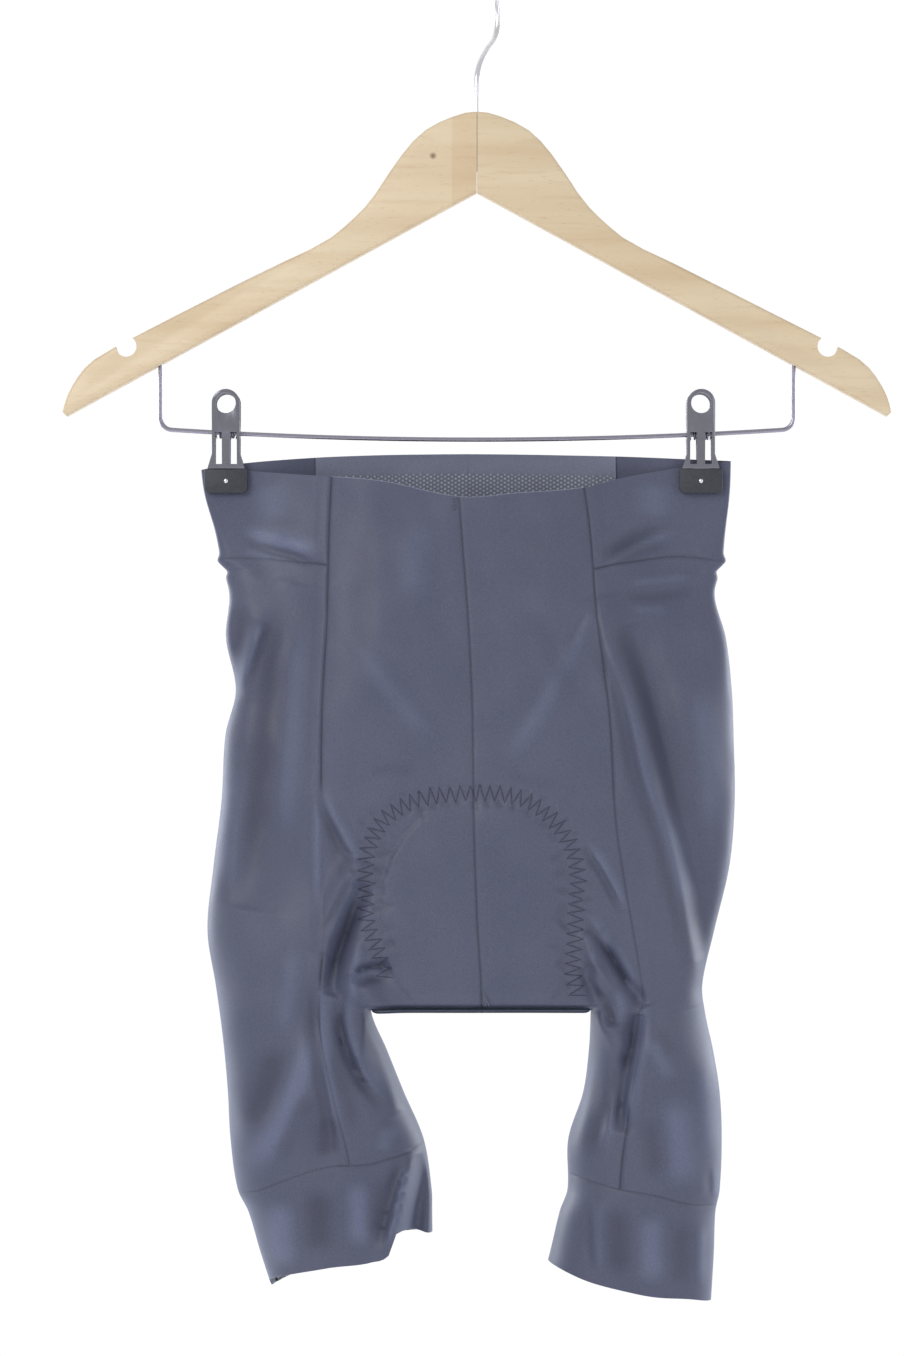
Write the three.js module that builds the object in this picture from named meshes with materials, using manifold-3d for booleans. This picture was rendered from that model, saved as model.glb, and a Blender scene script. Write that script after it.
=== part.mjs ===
// Athletic shorts of stretch knit, clipped to a wooden hanger with a wire trouser bar.
//
// Millimetres, +Z up. The wearer's front faces -Y, and left and right are the viewer's, seen from
// the front, so left is -X. The origin is the inner top of the hook, where a rail would carry it.
//
// The shorts are one smooth surface: a wide ring from the waist to the crotch, which closes there
// in a rounded bottom and goes on as two leg tubes. Its seams divide it into the sewn panels, and
// each panel is a wall of cloth cut out between its seams.

import * as THREE from 'three';
import Module from 'manifold-3d';

const wasm = await Module();
wasm.setup();

// ---- driving dimensions ------------------------------------------------------------------------

const CLOTH = 1.5;                // wall of the outer cloth
const LINING = 1;                 // wall of the facing, lining and gripper tape
const GAP = 0.3;                  // between sewn panels, and between a piece and its seat
const CROTCH_HEIGHT = -558.8;     // lowest line of the crotch, between the legs
const CROTCH_ROUNDING = 38;       // height over which the crotch closes
const CLIPPED = 1.75;             // half depth of the folded cloth between a clip's pads
const CLIP_FLAT = 14;             // half width of cloth that a clip holds flat
const CLIP_SPREAD = 70;           // width over which the waist opens beside a clip
const CLIP_FOOT = -286;           // height down to which a clip holds the cloth flat
const CLIP_FADE = 134;            // height over which the cloth opens below a clip
const LEAST_FOLD = 2.5;           // tightest radius at the side edge of the folded cloth
const FOLD_SHALLOW = 4;           // half depth below which the cloth is too flat to hold a fold
const FOLD_DEEP = 24;             // half depth from which a fold has its whole height

const HOOK_WIRE = 1.8;            // radius of the hook wire
const HOOK_RADIUS = 26;           // radius of the hook's arc, at the middle of its wire
const HOOK_TURN = THREE.MathUtils.degToRad(64);
const BAR_WIRE = 1.2;             // radius of the trouser bar's wire
const BAR_HALF = 169.9;           // from the middle to each upright of the bar
const BAR_CORNER = 6.5;
const BAR_END_HEIGHT = -248.5;
const BAR_SAG = 5.2;
const WOOD_THICK = 12;
const WOOD_ROUNDING = 1.5;
const NOTCH_RADIUS = 5.6;

const CLIP_X = { left: -134.5, right: 120 };
const PLATE_THICK = 1.2;
const PLATE_TOP = -227;
const PAD_TOP = -269.7;
const PAD_HEIGHT = 12.9;
const PAD_WIDTH = 23;
const PAD_DEPTH = 4.2;

// How finely the surface is divided: columns from the side edge to the princess seam, on to the
// inner leg, and on to the centre seam; rows in each zone from the waist down to the hem.
const COLUMNS = { side: 7, inner: 4, centre: 4 };
const ROWS = { band: 4, seat: 9, crotch: 5, leg: 6, cuff: 4 };
const SETTLING_PASSES = 12;
const SETTLING_STEP = 0.8;

// Outline of the shorts: the outer edge of each side, and the inner edge of each leg, which goes on
// above the crotch as a plain line of the grid from the end of the crotch's bottom to the waist.
const OUTLINE = [
  { z: -260, leftOuter: -149, leftInner: -46, rightInner: 38, rightOuter: 136.5 },
  { z: -282, leftOuter: -146.5, leftInner: -46.5, rightInner: 38, rightOuter: 135.8 },
  { z: -303, leftOuter: -140.6, leftInner: -47, rightInner: 39, rightOuter: 133.4 },
  { z: -321, leftOuter: -137, leftInner: -48, rightInner: 40, rightOuter: 131.5 },
  { z: -337, leftOuter: -133, leftInner: -48.5, rightInner: 41.5, rightOuter: 127.6 },
  { z: -360, leftOuter: -134.8, leftInner: -49.5, rightInner: 43.5, rightOuter: 133.6 },
  { z: -388, leftOuter: -129.5, leftInner: -51, rightInner: 46.5, rightOuter: 136.8 },
  { z: -412, leftOuter: -135, leftInner: -52, rightInner: 49, rightOuter: 137.8 },
  { z: -448, leftOuter: -137.2, leftInner: -53.5, rightInner: 53, rightOuter: 138.4 },
  { z: -482, leftOuter: -141.4, leftInner: -55, rightInner: 57, rightOuter: 135.6 },
  { z: -517, leftOuter: -144.7, leftInner: -56, rightInner: 60, rightOuter: 127.4 },
  { z: -546, leftOuter: -140.3, leftInner: -56.5, rightInner: 61, rightOuter: 121 },
  { z: -562, leftOuter: -138, leftInner: -56.5, rightInner: 61, rightOuter: 122.6 },
  { z: -581, leftOuter: -135.7, leftInner: -48.5, rightInner: 60.1, rightOuter: 126.7 },
  { z: -604, leftOuter: -133.7, leftInner: -39.2, rightInner: 57, rightOuter: 130.3 },
  { z: -629, leftOuter: -132.3, leftInner: -28.6, rightInner: 49, rightOuter: 131.4 },
  { z: -656, leftOuter: -128.4, leftInner: -24.3, rightInner: 48.6, rightOuter: 130.3 },
  { z: -668, leftOuter: -122.6, leftInner: -24, rightInner: 44.4, rightOuter: 128 },
  { z: -689, leftOuter: -116.4, leftInner: -23.8, rightInner: 39.4, rightOuter: 127.2 },
  { z: -716, leftOuter: -107.6, leftInner: -23.8, rightInner: 32.4, rightOuter: 125.6 },
];

// Half depth of the front and of the back, and how far the outer and inner edges round in.
const DEPTH = [
  { z: -260, front: 19, back: 15, roundOuter: 1.9, roundInner: 38 },
  { z: -286, front: 21, back: 18, roundOuter: 1.9, roundInner: 38 },
  { z: -315, front: 26, back: 25, roundOuter: 8, roundInner: 38 },
  { z: -335, front: 29, back: 31, roundOuter: 25, roundInner: 38 },
  { z: -370, front: 33, back: 38, roundOuter: 60, roundInner: 38 },
  { z: -420, front: 37, back: 45, roundOuter: 95, roundInner: 38 },
  { z: -480, front: 39, back: 46, roundOuter: 110, roundInner: 38 },
  { z: -540, front: 40, back: 42, roundOuter: 70, roundInner: 38 },
  { z: -600, front: 39, back: 39, roundOuter: 46, roundInner: 42 },
  { z: -660, front: 37, back: 37, roundOuter: 44, roundInner: 42 },
  { z: -716, front: 36, back: 36, roundOuter: 42, roundInner: 40 },
];

// Where the upright seams run: the two princess seams and the centre seam of each face.
const SEAMS = {
  front: [
    { z: -260, left: -77, middle: -11.5, right: 54 },
    { z: -300, left: -79, middle: -8.5, right: 60 },
    { z: -350, left: -80, middle: -4.8, right: 63.9 },
    { z: -400, left: -82.5, middle: -2.5, right: 70 },
    { z: -460, left: -82.7, middle: -1.8, right: 73.8 },
    { z: -512, left: -81, middle: 0, right: 82 },
    { z: -545, left: -83, middle: 2, right: 87.2 },
    { z: -568, left: -83.2, middle: 2.2, right: 87.5 },
    { z: -606, left: -75.3, middle: 2.2, right: 81.6 },
    { z: -640, left: -67.6, middle: 2.2, right: 76.5 },
    { z: -716, left: -61, middle: 2.2, right: 72 },
  ],
  back: [
    { z: -260, left: -72, middle: -6, right: 60 },
    { z: -300, left: -73, middle: -5, right: 62 },
    { z: -350, left: -76, middle: -4, right: 66 },
    { z: -400, left: -79, middle: -3, right: 70 },
    { z: -460, left: -81, middle: -1, right: 75 },
    { z: -512, left: -82, middle: 0, right: 80 },
    { z: -545, left: -82.5, middle: 2, right: 83 },
    { z: -568, left: -82, middle: 2.2, right: 84 },
    { z: -606, left: -76, middle: 2.2, right: 82 },
    { z: -640, left: -70, middle: 2.2, right: 79 },
    { z: -716, left: -66, middle: 2.2, right: 77 },
  ],
};

// Height of the top edge and of the waistband's lower seam across the front and the back.
const WAIST = [
  { x: -149, frontTop: -270, backTop: -270, frontBand: -321, backBand: -321 },
  { x: -134, frontTop: -269.8, backTop: -267.4, frontBand: -317.5, backBand: -319 },
  { x: -104, frontTop: -272, backTop: -264.4, frontBand: -318.5, backBand: -316.5 },
  { x: -77, frontTop: -274.3, backTop: -262.4, frontBand: -321.5, backBand: -315 },
  { x: -50, frontTop: -277, backTop: -261.3, frontBand: -323, backBand: -314 },
  { x: -9, frontTop: -285.2, backTop: -260.8, frontBand: -326, backBand: -313.5 },
  { x: 22, frontTop: -283.2, backTop: -261, frontBand: -326, backBand: -313.5 },
  { x: 56, frontTop: -280.3, backTop: -261.7, frontBand: -324.5, backBand: -314 },
  { x: 77, frontTop: -274.8, backTop: -262.5, frontBand: -320.5, backBand: -315 },
  { x: 108, frontTop: -268.9, backTop: -264, frontBand: -316.5, backBand: -317 },
  { x: 137, frontTop: -265.2, backTop: -265.2, frontBand: -320, backBand: -320 },
];

// Height of each leg's cuff seam and hem, across its front and its back.
const LEG_ENDS = {
  left: [
    { x: -128, frontSeam: -657, backSeam: -657, frontHem: -710, backHem: -710 },
    { x: -117, frontSeam: -654.6, backSeam: -655, frontHem: -707.7, backHem: -709 },
    { x: -107, frontSeam: -650, backSeam: -651.5, frontHem: -701, backHem: -706.6 },
    { x: -80, frontSeam: -640.9, backSeam: -643, frontHem: -694.4, backHem: -697 },
    { x: -57, frontSeam: -639.3, backSeam: -637, frontHem: -691.4, backHem: -688 },
    { x: -47, frontSeam: -636.8, backSeam: -634.5, frontHem: -687.6, backHem: -684 },
    { x: -42, frontSeam: -635.8, backSeam: -633, frontHem: -676, backHem: -682 },
    { x: -24, frontSeam: -628.6, backSeam: -628.6, frontHem: -678.5, backHem: -678.5 },
  ],
  right: [
    { x: 38, frontSeam: -645, backSeam: -645, frontHem: -693.8, backHem: -693.8 },
    { x: 58, frontSeam: -648.5, backSeam: -649, frontHem: -701.4, backHem: -702 },
    { x: 74, frontSeam: -652.7, backSeam: -653.5, frontHem: -705.5, backHem: -708 },
    { x: 92, frontSeam: -655.4, backSeam: -657.5, frontHem: -709.4, backHem: -712.9 },
    { x: 113, frontSeam: -661.3, backSeam: -661.5, frontHem: -711.8, backHem: -714 },
    { x: 126, frontSeam: -663.4, backSeam: -663.4, frontHem: -715, backHem: -715 },
  ],
};

// The largest folds. Each runs from one place to another with a bow to its right, is raised or
// sunk by its rise, and fades over its width to either side.
const FOLDS = [
  { face: 'front', fromX: 66, fromZ: -338, toX: 121, toZ: -556, bow: 2, width: 11, rise: 6 },
  { face: 'front', fromX: 84, fromZ: -352, toX: 124, toZ: -530, bow: 2, width: 9, rise: -8 },
  { face: 'front', fromX: -100, fromZ: -330, toX: -122, toZ: -505, bow: 8, width: 15, rise: -7 },
  { face: 'front', fromX: -115, fromZ: -352, toX: -128, toZ: -392, bow: 0, width: 7, rise: 4 },
  { face: 'front', fromX: -62, fromZ: -478, toX: -81, toZ: -528, bow: -3, width: 7, rise: 6 },
  { face: 'front', fromX: -60, fromZ: -490, toX: -77, toZ: -550, bow: -3, width: 5, rise: -8 },
  { face: 'front', fromX: -66, fromZ: -538, toX: -42, toZ: -614, bow: 9, width: 7, rise: 6 },
  { face: 'front', fromX: -46, fromZ: -534, toX: -66, toZ: -541, bow: 0, width: 4, rise: -5 },
  { face: 'front', fromX: 58, fromZ: -516, toX: 80, toZ: -582, bow: -3, width: 5, rise: 5 },
  { face: 'front', fromX: 57, fromZ: -534, toX: 72, toZ: -566, bow: -2, width: 4, rise: -6 },
  { face: 'front', fromX: 66, fromZ: -514, toX: 90, toZ: -556, bow: -2, width: 4, rise: -5 },
  { face: 'front', fromX: 87, fromZ: -560, toX: 77, toZ: -622, bow: -3, width: 5, rise: -6 },
  { face: 'front', fromX: -33, fromZ: -634, toX: -49, toZ: -692, bow: 0, width: 7, rise: 6 },
  { face: 'front', fromX: -27, fromZ: -636, toX: -35, toZ: -690, bow: 0, width: 6, rise: -12 },
  { face: 'back', fromX: -62, fromZ: -330, toX: -100, toZ: -470, bow: 8, width: 14, rise: -5 },
  { face: 'back', fromX: 58, fromZ: -336, toX: 98, toZ: -480, bow: -8, width: 14, rise: -6 },
  { face: 'back', fromX: -126, fromZ: -508, toX: -58, toZ: -542, bow: 10, width: 8, rise: -7 },
  { face: 'back', fromX: 112, fromZ: -500, toX: 62, toZ: -540, bow: -8, width: 8, rise: -7 },
  { face: 'back', fromX: -100, fromZ: -560, toX: -84, toZ: -650, bow: -4, width: 9, rise: -5 },
  { face: 'back', fromX: 98, fromZ: -566, toX: 88, toZ: -656, bow: 4, width: 9, rise: -5 },
];

const materials = {
  knit: new THREE.MeshStandardMaterial({ color: 0x5c5e70, roughness: 0.55, metalness: 0 }),
  mesh: new THREE.MeshStandardMaterial({ color: 0x6a6c78, roughness: 0.8, metalness: 0 }),
  beech: new THREE.MeshStandardMaterial({ color: 0xe3c39a, roughness: 0.5, metalness: 0 }),
  wire: new THREE.MeshStandardMaterial({ color: 0xb9bac2, roughness: 0.25, metalness: 1 }),
  plate: new THREE.MeshStandardMaterial({ color: 0x8f8f98, roughness: 0.3, metalness: 1 }),
  rubber: new THREE.MeshStandardMaterial({ color: 0x5b5450, roughness: 0.8, metalness: 0 }),
};

const model = new THREE.Group();

function addMesh(name, geometry, material) {
  const mesh = new THREE.Mesh(geometry, material);
  mesh.name = name;
  model.add(mesh);
}

// ---- small helpers -----------------------------------------------------------------------------

const { clamp, lerp, smoothstep } = THREE.MathUtils;

// A smooth curve through one column of a table, looked up by the table's key column.
function lookUp(table, key, place, column) {
  const ascending = table[table.length - 1][key] > table[0][key];
  const passed = (row) => (ascending ? row[key] <= place : row[key] >= place);
  let low = 0;
  while (low < table.length - 2 && passed(table[low + 1])) low += 1;
  const slopeAt = (index) => {
    const before = table[Math.max(index - 1, 0)];
    const after = table[Math.min(index + 1, table.length - 1)];
    return (after[column] - before[column]) / (after[key] - before[key]);
  };
  const span = table[low + 1][key] - table[low][key];
  const t = clamp((place - table[low][key]) / span, 0, 1);
  const blend = t * t * (3 - 2 * t);
  const leave = t * (1 - t) * (1 - t) * span * slopeAt(low);
  const arrive = t * t * (t - 1) * span * slopeAt(low + 1);
  return lerp(table[low][column], table[low + 1][column], blend) + leave + arrive;
}

// A quarter round: 0 at an edge, 1 from a full radius inside it.
function quarterRound(share) {
  const t = clamp(share, 0, 1);
  return Math.sqrt(t * (2 - t));
}

// ---- the surface of the shorts -----------------------------------------------------------------

function foldRelief(face, x, z) {
  let relief = 0;
  for (const fold of FOLDS.filter((each) => each.face === face)) {
    const runX = fold.toX - fold.fromX;
    const runZ = fold.toZ - fold.fromZ;
    const length = Math.hypot(runX, runZ);
    const share = clamp(((x - fold.fromX) * runX + (z - fold.fromZ) * runZ) / length ** 2, 0, 1);
    const bow = 4 * fold.bow * share * (1 - share);
    const lineX = fold.fromX + runX * share - (bow * runZ) / length;
    const lineZ = fold.fromZ + runZ * share + (bow * runX) / length;
    const away = Math.hypot(x - lineX, z - lineZ);
    const fade = quarterRound(4 * share) * quarterRound(4 * (1 - share));
    relief += fold.rise * fade * Math.exp(-((away / fold.width) ** 2));
  }
  return relief;
}

// How much a clip holds the cloth flat at a place: 1 under its pads, 0 far from it.
function clipHold(x, z) {
  const near = Math.min(Math.abs(x - CLIP_X.left), Math.abs(x - CLIP_X.right));
  const beyond = x < CLIP_X.left || x > CLIP_X.right;
  const across = beyond ? 1 : 1 - smoothstep(near, CLIP_FLAT, CLIP_FLAT + CLIP_SPREAD);
  return across * (1 - smoothstep(CLIP_FOOT - z, 0, CLIP_FADE));
}

// Distance from a place to the crotch's bottom, or below it to the leg's inner edge.
function insideDistance(side, x, z) {
  if (z < CROTCH_HEIGHT) return Math.abs(x - lookUp(OUTLINE, 'z', z, `${side}Inner`));
  const left = lookUp(OUTLINE, 'z', CROTCH_HEIGHT, 'leftInner');
  const right = lookUp(OUTLINE, 'z', CROTCH_HEIGHT, 'rightInner');
  return Math.hypot(Math.max(left - x, x - right, 0), z - CROTCH_HEIGHT);
}

function surfacePoint(face, side, x, z) {
  const outward = face === 'front' ? -1 : 1;
  const open = lookUp(DEPTH, 'z', z, face);
  const half = lerp(open, CLIPPED, clipHold(x, z));
  const outer = lookUp(OUTLINE, 'z', z, `${side}Outer`);
  const edgeHalf = lerp(open, CLIPPED, clipHold(outer, z));
  const roundOuter = Math.min(lookUp(DEPTH, 'z', z, 'roundOuter'), edgeHalf ** 2 / LEAST_FOLD);
  const rimOuter = quarterRound(Math.abs(x - outer) / Math.max(roundOuter, CLIPPED));
  const rimInner = quarterRound(insideDistance(side, x, z) / lookUp(DEPTH, 'z', z, 'roundInner'));
  const depth = half * rimOuter * rimInner;
  const relief = foldRelief(face, x, z) * smoothstep(depth, FOLD_SHALLOW, FOLD_DEEP);
  return new THREE.Vector3(x, outward * (depth + relief), z);
}

// ---- the grid of seam lines, columns and rows ----------------------------------------------------

const princessColumn = COLUMNS.side;
const innerColumn = princessColumn + COLUMNS.inner;
const middleColumn = innerColumn + COLUMNS.centre;
const bandRow = ROWS.band;
const seatRow = bandRow + ROWS.seat;
const crotchRow = seatRow + ROWS.crotch;
const cuffRow = crotchRow + ROWS.leg;
const hemRow = cuffRow + ROWS.cuff;

function columnPlace(face, side, column, z) {
  const outer = lookUp(OUTLINE, 'z', z, `${side}Outer`);
  const inner = lookUp(OUTLINE, 'z', z, `${side}Inner`);
  const princess = lookUp(SEAMS[face], 'z', z, side);
  const middle = lookUp(SEAMS[face], 'z', z, 'middle');
  if (column <= princessColumn) {
    const share = 1 - Math.cos((column / princessColumn) * (Math.PI / 2));
    return lerp(outer, princess, share);
  }
  if (column <= innerColumn) {
    const even = (column - princessColumn) / COLUMNS.inner;
    const legLike = smoothstep(CROTCH_HEIGHT + CROTCH_ROUNDING - z, 0, CROTCH_ROUNDING);
    return lerp(princess, inner, lerp(even, Math.sin((even * Math.PI) / 2), legLike));
  }
  return lerp(inner, middle, (column - innerColumn) / COLUMNS.centre);
}

function rowHeight(face, side, row, x) {
  const top = lookUp(WAIST, 'x', x, `${face}Top`);
  const band = lookUp(WAIST, 'x', x, `${face}Band`);
  const seam = lookUp(LEG_ENDS[side], 'x', x, `${face}Seam`);
  const hem = lookUp(LEG_ENDS[side], 'x', x, `${face}Hem`);
  const seatEnd = CROTCH_HEIGHT + CROTCH_ROUNDING;
  if (row <= bandRow) return lerp(top, band, row / ROWS.band);
  if (row <= seatRow) return lerp(band, seatEnd, (row - bandRow) / ROWS.seat);
  if (row <= crotchRow) {
    const turn = ((row - seatRow) / ROWS.crotch) * (Math.PI / 2);
    return lerp(seatEnd, CROTCH_HEIGHT, Math.sin(turn));
  }
  if (row <= cuffRow) return lerp(CROTCH_HEIGHT, seam, (row - crotchRow) / ROWS.leg);
  return lerp(seam, hem, (row - cuffRow) / ROWS.cuff);
}

// The place where a column crosses a row, found by going from one to the other a few times. The
// front and the back meet at the side edges and down the inner legs, halfway between their rows.
function gridPoint(face, side, column, row) {
  const onInnerLeg = column === innerColumn && row >= crotchRow;
  const faces = column === 0 || onInnerLeg ? ['front', 'back'] : [face, face];
  const heightAt = (x) => (rowHeight(faces[0], side, row, x) + rowHeight(faces[1], side, row, x)) / 2;
  let x = columnPlace(face, side, column, CROTCH_HEIGHT);
  let z = heightAt(x);
  for (let pass = 0; pass < SETTLING_PASSES; pass += 1) {
    x = columnPlace(face, side, column, z);
    z = lerp(z, heightAt(x), SETTLING_STEP);
  }
  return surfacePoint(face, side, x, z);
}

// ---- panels: which cells of the grid each sewn piece takes ---------------------------------------

const cells = [];
const points = [];
const pointNumbers = new Map();

function numberOf(point) {
  const key = point.toArray().map((value) => Math.round(value * 200)).join(' ');
  if (!pointNumbers.has(key)) {
    pointNumbers.set(key, points.length);
    points.push(point);
  }
  return pointNumbers.get(key);
}

function panelName(face, side, column, row) {
  if (row >= cuffRow) return `cuff_${side}`;
  if (row < bandRow && (face === 'back' || column < princessColumn)) return `waistband_${side}`;
  if (column < princessColumn) return `side_${side}`;
  return `${face}_${side}`;
}

for (const side of ['left', 'right']) {
  for (const face of ['front', 'back']) {
    const corner = [];
    for (let column = 0; column <= middleColumn; column += 1) {
      const lastRow = column <= innerColumn ? hemRow : crotchRow;
      corner.push([]);
      for (let row = 0; row <= lastRow; row += 1) {
        corner[column].push(numberOf(gridPoint(face, side, column, row)));
      }
    }
    const facesOut = (side === 'left') === (face === 'front');
    for (let column = 0; column < middleColumn; column += 1) {
      const rows = Math.min(corner[column].length, corner[column + 1].length) - 1;
      for (let row = 0; row < rows; row += 1) {
        const loop = [
          corner[column][row],
          corner[column][row + 1],
          corner[column + 1][row + 1],
          corner[column + 1][row],
        ];
        if (!facesOut) loop.reverse();
        cells.push({ panel: panelName(face, side, column, row), face, side, column, row, loop });
      }
    }
  }
}

// ---- walls of cloth ------------------------------------------------------------------------------

function trianglesOf(loop) {
  const [a, b, c, d] = loop;
  return [[a, b, c], [a, c, d]].filter(([p, q, r]) => p !== q && q !== r && r !== p);
}

// The way out of the cloth at each point of the surface, from all the cells round it.
const outwardAt = points.map(() => new THREE.Vector3());
for (const cell of cells) {
  for (const [a, b, c] of trianglesOf(cell.loop)) {
    const across = points[b].clone().sub(points[a]);
    const along = points[c].clone().sub(points[a]);
    const normal = across.cross(along).normalize();
    for (const corner of [a, b, c]) outwardAt[corner].add(normal);
  }
}
for (const outward of outwardAt) outward.normalize();

// The rim edges of a set of cells, in the sense of their loops.
function rimOf(triangles) {
  const edges = new Map();
  for (const triangle of triangles) {
    for (let corner = 0; corner < 3; corner += 1) {
      const from = triangle[corner];
      const to = triangle[(corner + 1) % 3];
      if (edges.has(`${to} ${from}`)) edges.delete(`${to} ${from}`);
      else edges.set(`${from} ${to}`, [from, to]);
    }
  }
  return [...edges.values()];
}

// How far each rim point moves into its panel, to leave half the seam's gap.
function seamAllowance(rim) {
  const moves = new Map();
  for (const [from, to] of rim) {
    const edge = points[to].clone().sub(points[from]).normalize();
    for (const end of [from, to]) {
      const inward = outwardAt[end].clone().cross(edge).normalize();
      if (!moves.has(end)) moves.set(end, []);
      moves.get(end).push(inward);
    }
  }
  for (const [point, inwards] of moves) {
    const sum = inwards.reduce((total, each) => total.add(each), new THREE.Vector3());
    const middle = sum.normalize();
    const leaning = Math.max(middle.dot(inwards[inwards.length - 1]), 0.5);
    moves.set(point, middle.multiplyScalar(GAP / 2 / leaning));
  }
  return moves;
}

// A wall through the chosen cells, from one depth under the surface to another.
function clothWall(chosen, outside, inside) {
  const triangles = chosen.flatMap((cell) => trianglesOf(cell.loop));
  const rim = rimOf(triangles);
  const moves = seamAllowance(rim);
  const used = [...new Set(triangles.flat())];
  const place = new Map(used.map((point, index) => [point, index]));
  const positions = [];
  for (const depth of [outside, inside]) {
    for (const point of used) {
      const spot = points[point].clone().addScaledVector(outwardAt[point], -depth);
      if (moves.has(point)) spot.add(moves.get(point));
      positions.push(...spot.toArray());
    }
  }
  const indices = [];
  for (const [a, b, c] of triangles) {
    indices.push(place.get(a), place.get(b), place.get(c));
    indices.push(place.get(c) + used.length, place.get(b) + used.length, place.get(a) + used.length);
  }
  for (const [from, to] of rim) {
    const [near, far] = [place.get(from), place.get(to)];
    indices.push(far, near, near + used.length);
    indices.push(far, near + used.length, far + used.length);
  }
  const geometry = new THREE.BufferGeometry();
  geometry.setAttribute('position', new THREE.Float32BufferAttribute(positions, 3));
  geometry.setIndex(indices);
  return geometry;
}

const panelNames = [...new Set(cells.map((cell) => cell.panel))];
for (const name of panelNames) {
  const chosen = cells.filter((cell) => cell.panel === name);
  addMesh(name, clothWall(chosen, 0, CLOTH), materials.knit);
}

// The facing and the mesh lining lie inside the back of the waist, between the clips.
const linedColumn = princessColumn - 1;
const insideBack = cells.filter((cell) => cell.face === 'back' && cell.column >= linedColumn);
const lined = insideBack.filter((cell) => cell.row < bandRow);
const liningDepth = CLOTH + GAP;
const facingCells = lined.filter((cell) => cell.row === 0);
const liningCells = lined.filter((cell) => cell.row > 0);
addMesh('waist_facing', clothWall(facingCells, liningDepth, liningDepth + LINING), materials.knit);
addMesh('back_lining', clothWall(liningCells, liningDepth, liningDepth + LINING), materials.mesh);

// Gripper tape lines the back of each cuff, above its hem.
for (const side of ['left', 'right']) {
  const gripped = cells.filter((cell) => cell.panel === `cuff_${side}` && cell.face === 'back');
  const tape = gripped.filter((cell) => cell.column > 0 && cell.row >= cuffRow + 1);
  const wall = clothWall(tape, liningDepth, liningDepth + LINING);
  addMesh(`gripper_${side}`, wall, materials.mesh);
}

// ---- solids that are joined or cut ---------------------------------------------------------------

function solidOf(geometry) {
  const source = geometry.index ? geometry.toNonIndexed() : geometry;
  const position = source.getAttribute('position');
  const numbers = new Map();
  const vertices = [];
  const corners = [];
  for (let index = 0; index < position.count; index += 1) {
    const spot = [position.getX(index), position.getY(index), position.getZ(index)];
    const key = spot.map((value) => Math.round(value * 1e4)).join(' ');
    if (!numbers.has(key)) {
      numbers.set(key, numbers.size);
      vertices.push(...spot);
    }
    corners.push(numbers.get(key));
  }
  const triangles = [];
  for (let index = 0; index < corners.length; index += 3) {
    const [a, b, c] = corners.slice(index, index + 3);
    if (a !== b && b !== c && c !== a) triangles.push(a, b, c);
  }
  const mesh = new wasm.Mesh({
    numProp: 3,
    vertProperties: new Float32Array(vertices),
    triVerts: new Uint32Array(triangles),
  });
  return new wasm.Manifold(mesh);
}

function geometryOf(solid) {
  const mesh = solid.getMesh();
  const geometry = new THREE.BufferGeometry();
  geometry.setAttribute('position', new THREE.Float32BufferAttribute(mesh.vertProperties, 3));
  geometry.setIndex(Array.from(mesh.triVerts));
  return geometry;
}

// A flat shape drawn across the front, X to the right and Z up, given a thickness about a depth.
function uprightPlate(shape, thickness, depth, curveSegments) {
  const geometry = new THREE.ExtrudeGeometry(shape, {
    depth: thickness,
    bevelEnabled: false,
    curveSegments,
  });
  geometry.rotateX(Math.PI / 2);
  geometry.translate(0, depth + thickness / 2, 0);
  return geometry;
}

function rod(radius, length, x, y, topHeight) {
  const geometry = new THREE.CylinderGeometry(radius, radius, length, 16);
  geometry.rotateX(Math.PI / 2);
  geometry.translate(x, y, topHeight - length / 2);
  return solidOf(geometry);
}

// ---- hanger: wood, hook and trouser bar ----------------------------------------------------------

// Upper contour of the right half, from the neck to the tip; the left half is its mirror.
const WOOD_TOP = [
  { x: 0, z: -78 },
  { x: 13.5, z: -81 },
  { x: 29, z: -89 },
  { x: 42, z: -103.5 },
  { x: 56.5, z: -125 },
  { x: 68, z: -137 },
  { x: 83, z: -148.6 },
  { x: 117, z: -165 },
  { x: 175, z: -194.5 },
  { x: 203, z: -209.6 },
  { x: 213, z: -219 },
  { x: 219.5, z: -230 },
  { x: 222.3, z: -239 },
];
const WOOD_MIDDLE = -121.3;       // height of the lower edges' meeting at the middle
const WOOD_TIP = -241.3;          // height of the lower corner at each tip
const NOTCH = { x: 188, z: -204 };
const WOOD_ROOM = 400;            // a block larger than one half of the wood
const NECK_HOLE = 34;
const BAR_HOLE = 12;

function woodOutline() {
  const rightTop = WOOD_TOP.map((place) => new THREE.Vector2(place.x, place.z));
  const leftTop = WOOD_TOP.slice(1).map((place) => new THREE.Vector2(-place.x, place.z));
  const shape = new THREE.Shape();
  shape.moveTo(0, WOOD_MIDDLE);
  shape.lineTo(220, WOOD_TIP);
  shape.lineTo(rightTop[rightTop.length - 1].x, rightTop[rightTop.length - 1].y);
  shape.splineThru([...rightTop.slice(0, -1).reverse(), ...leftTop]);
  shape.lineTo(-220, WOOD_TIP);
  shape.closePath();
  return shape;
}

function woodUnderside(x) {
  return lerp(WOOD_MIDDLE, WOOD_TIP, Math.abs(x) / 220);
}

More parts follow.
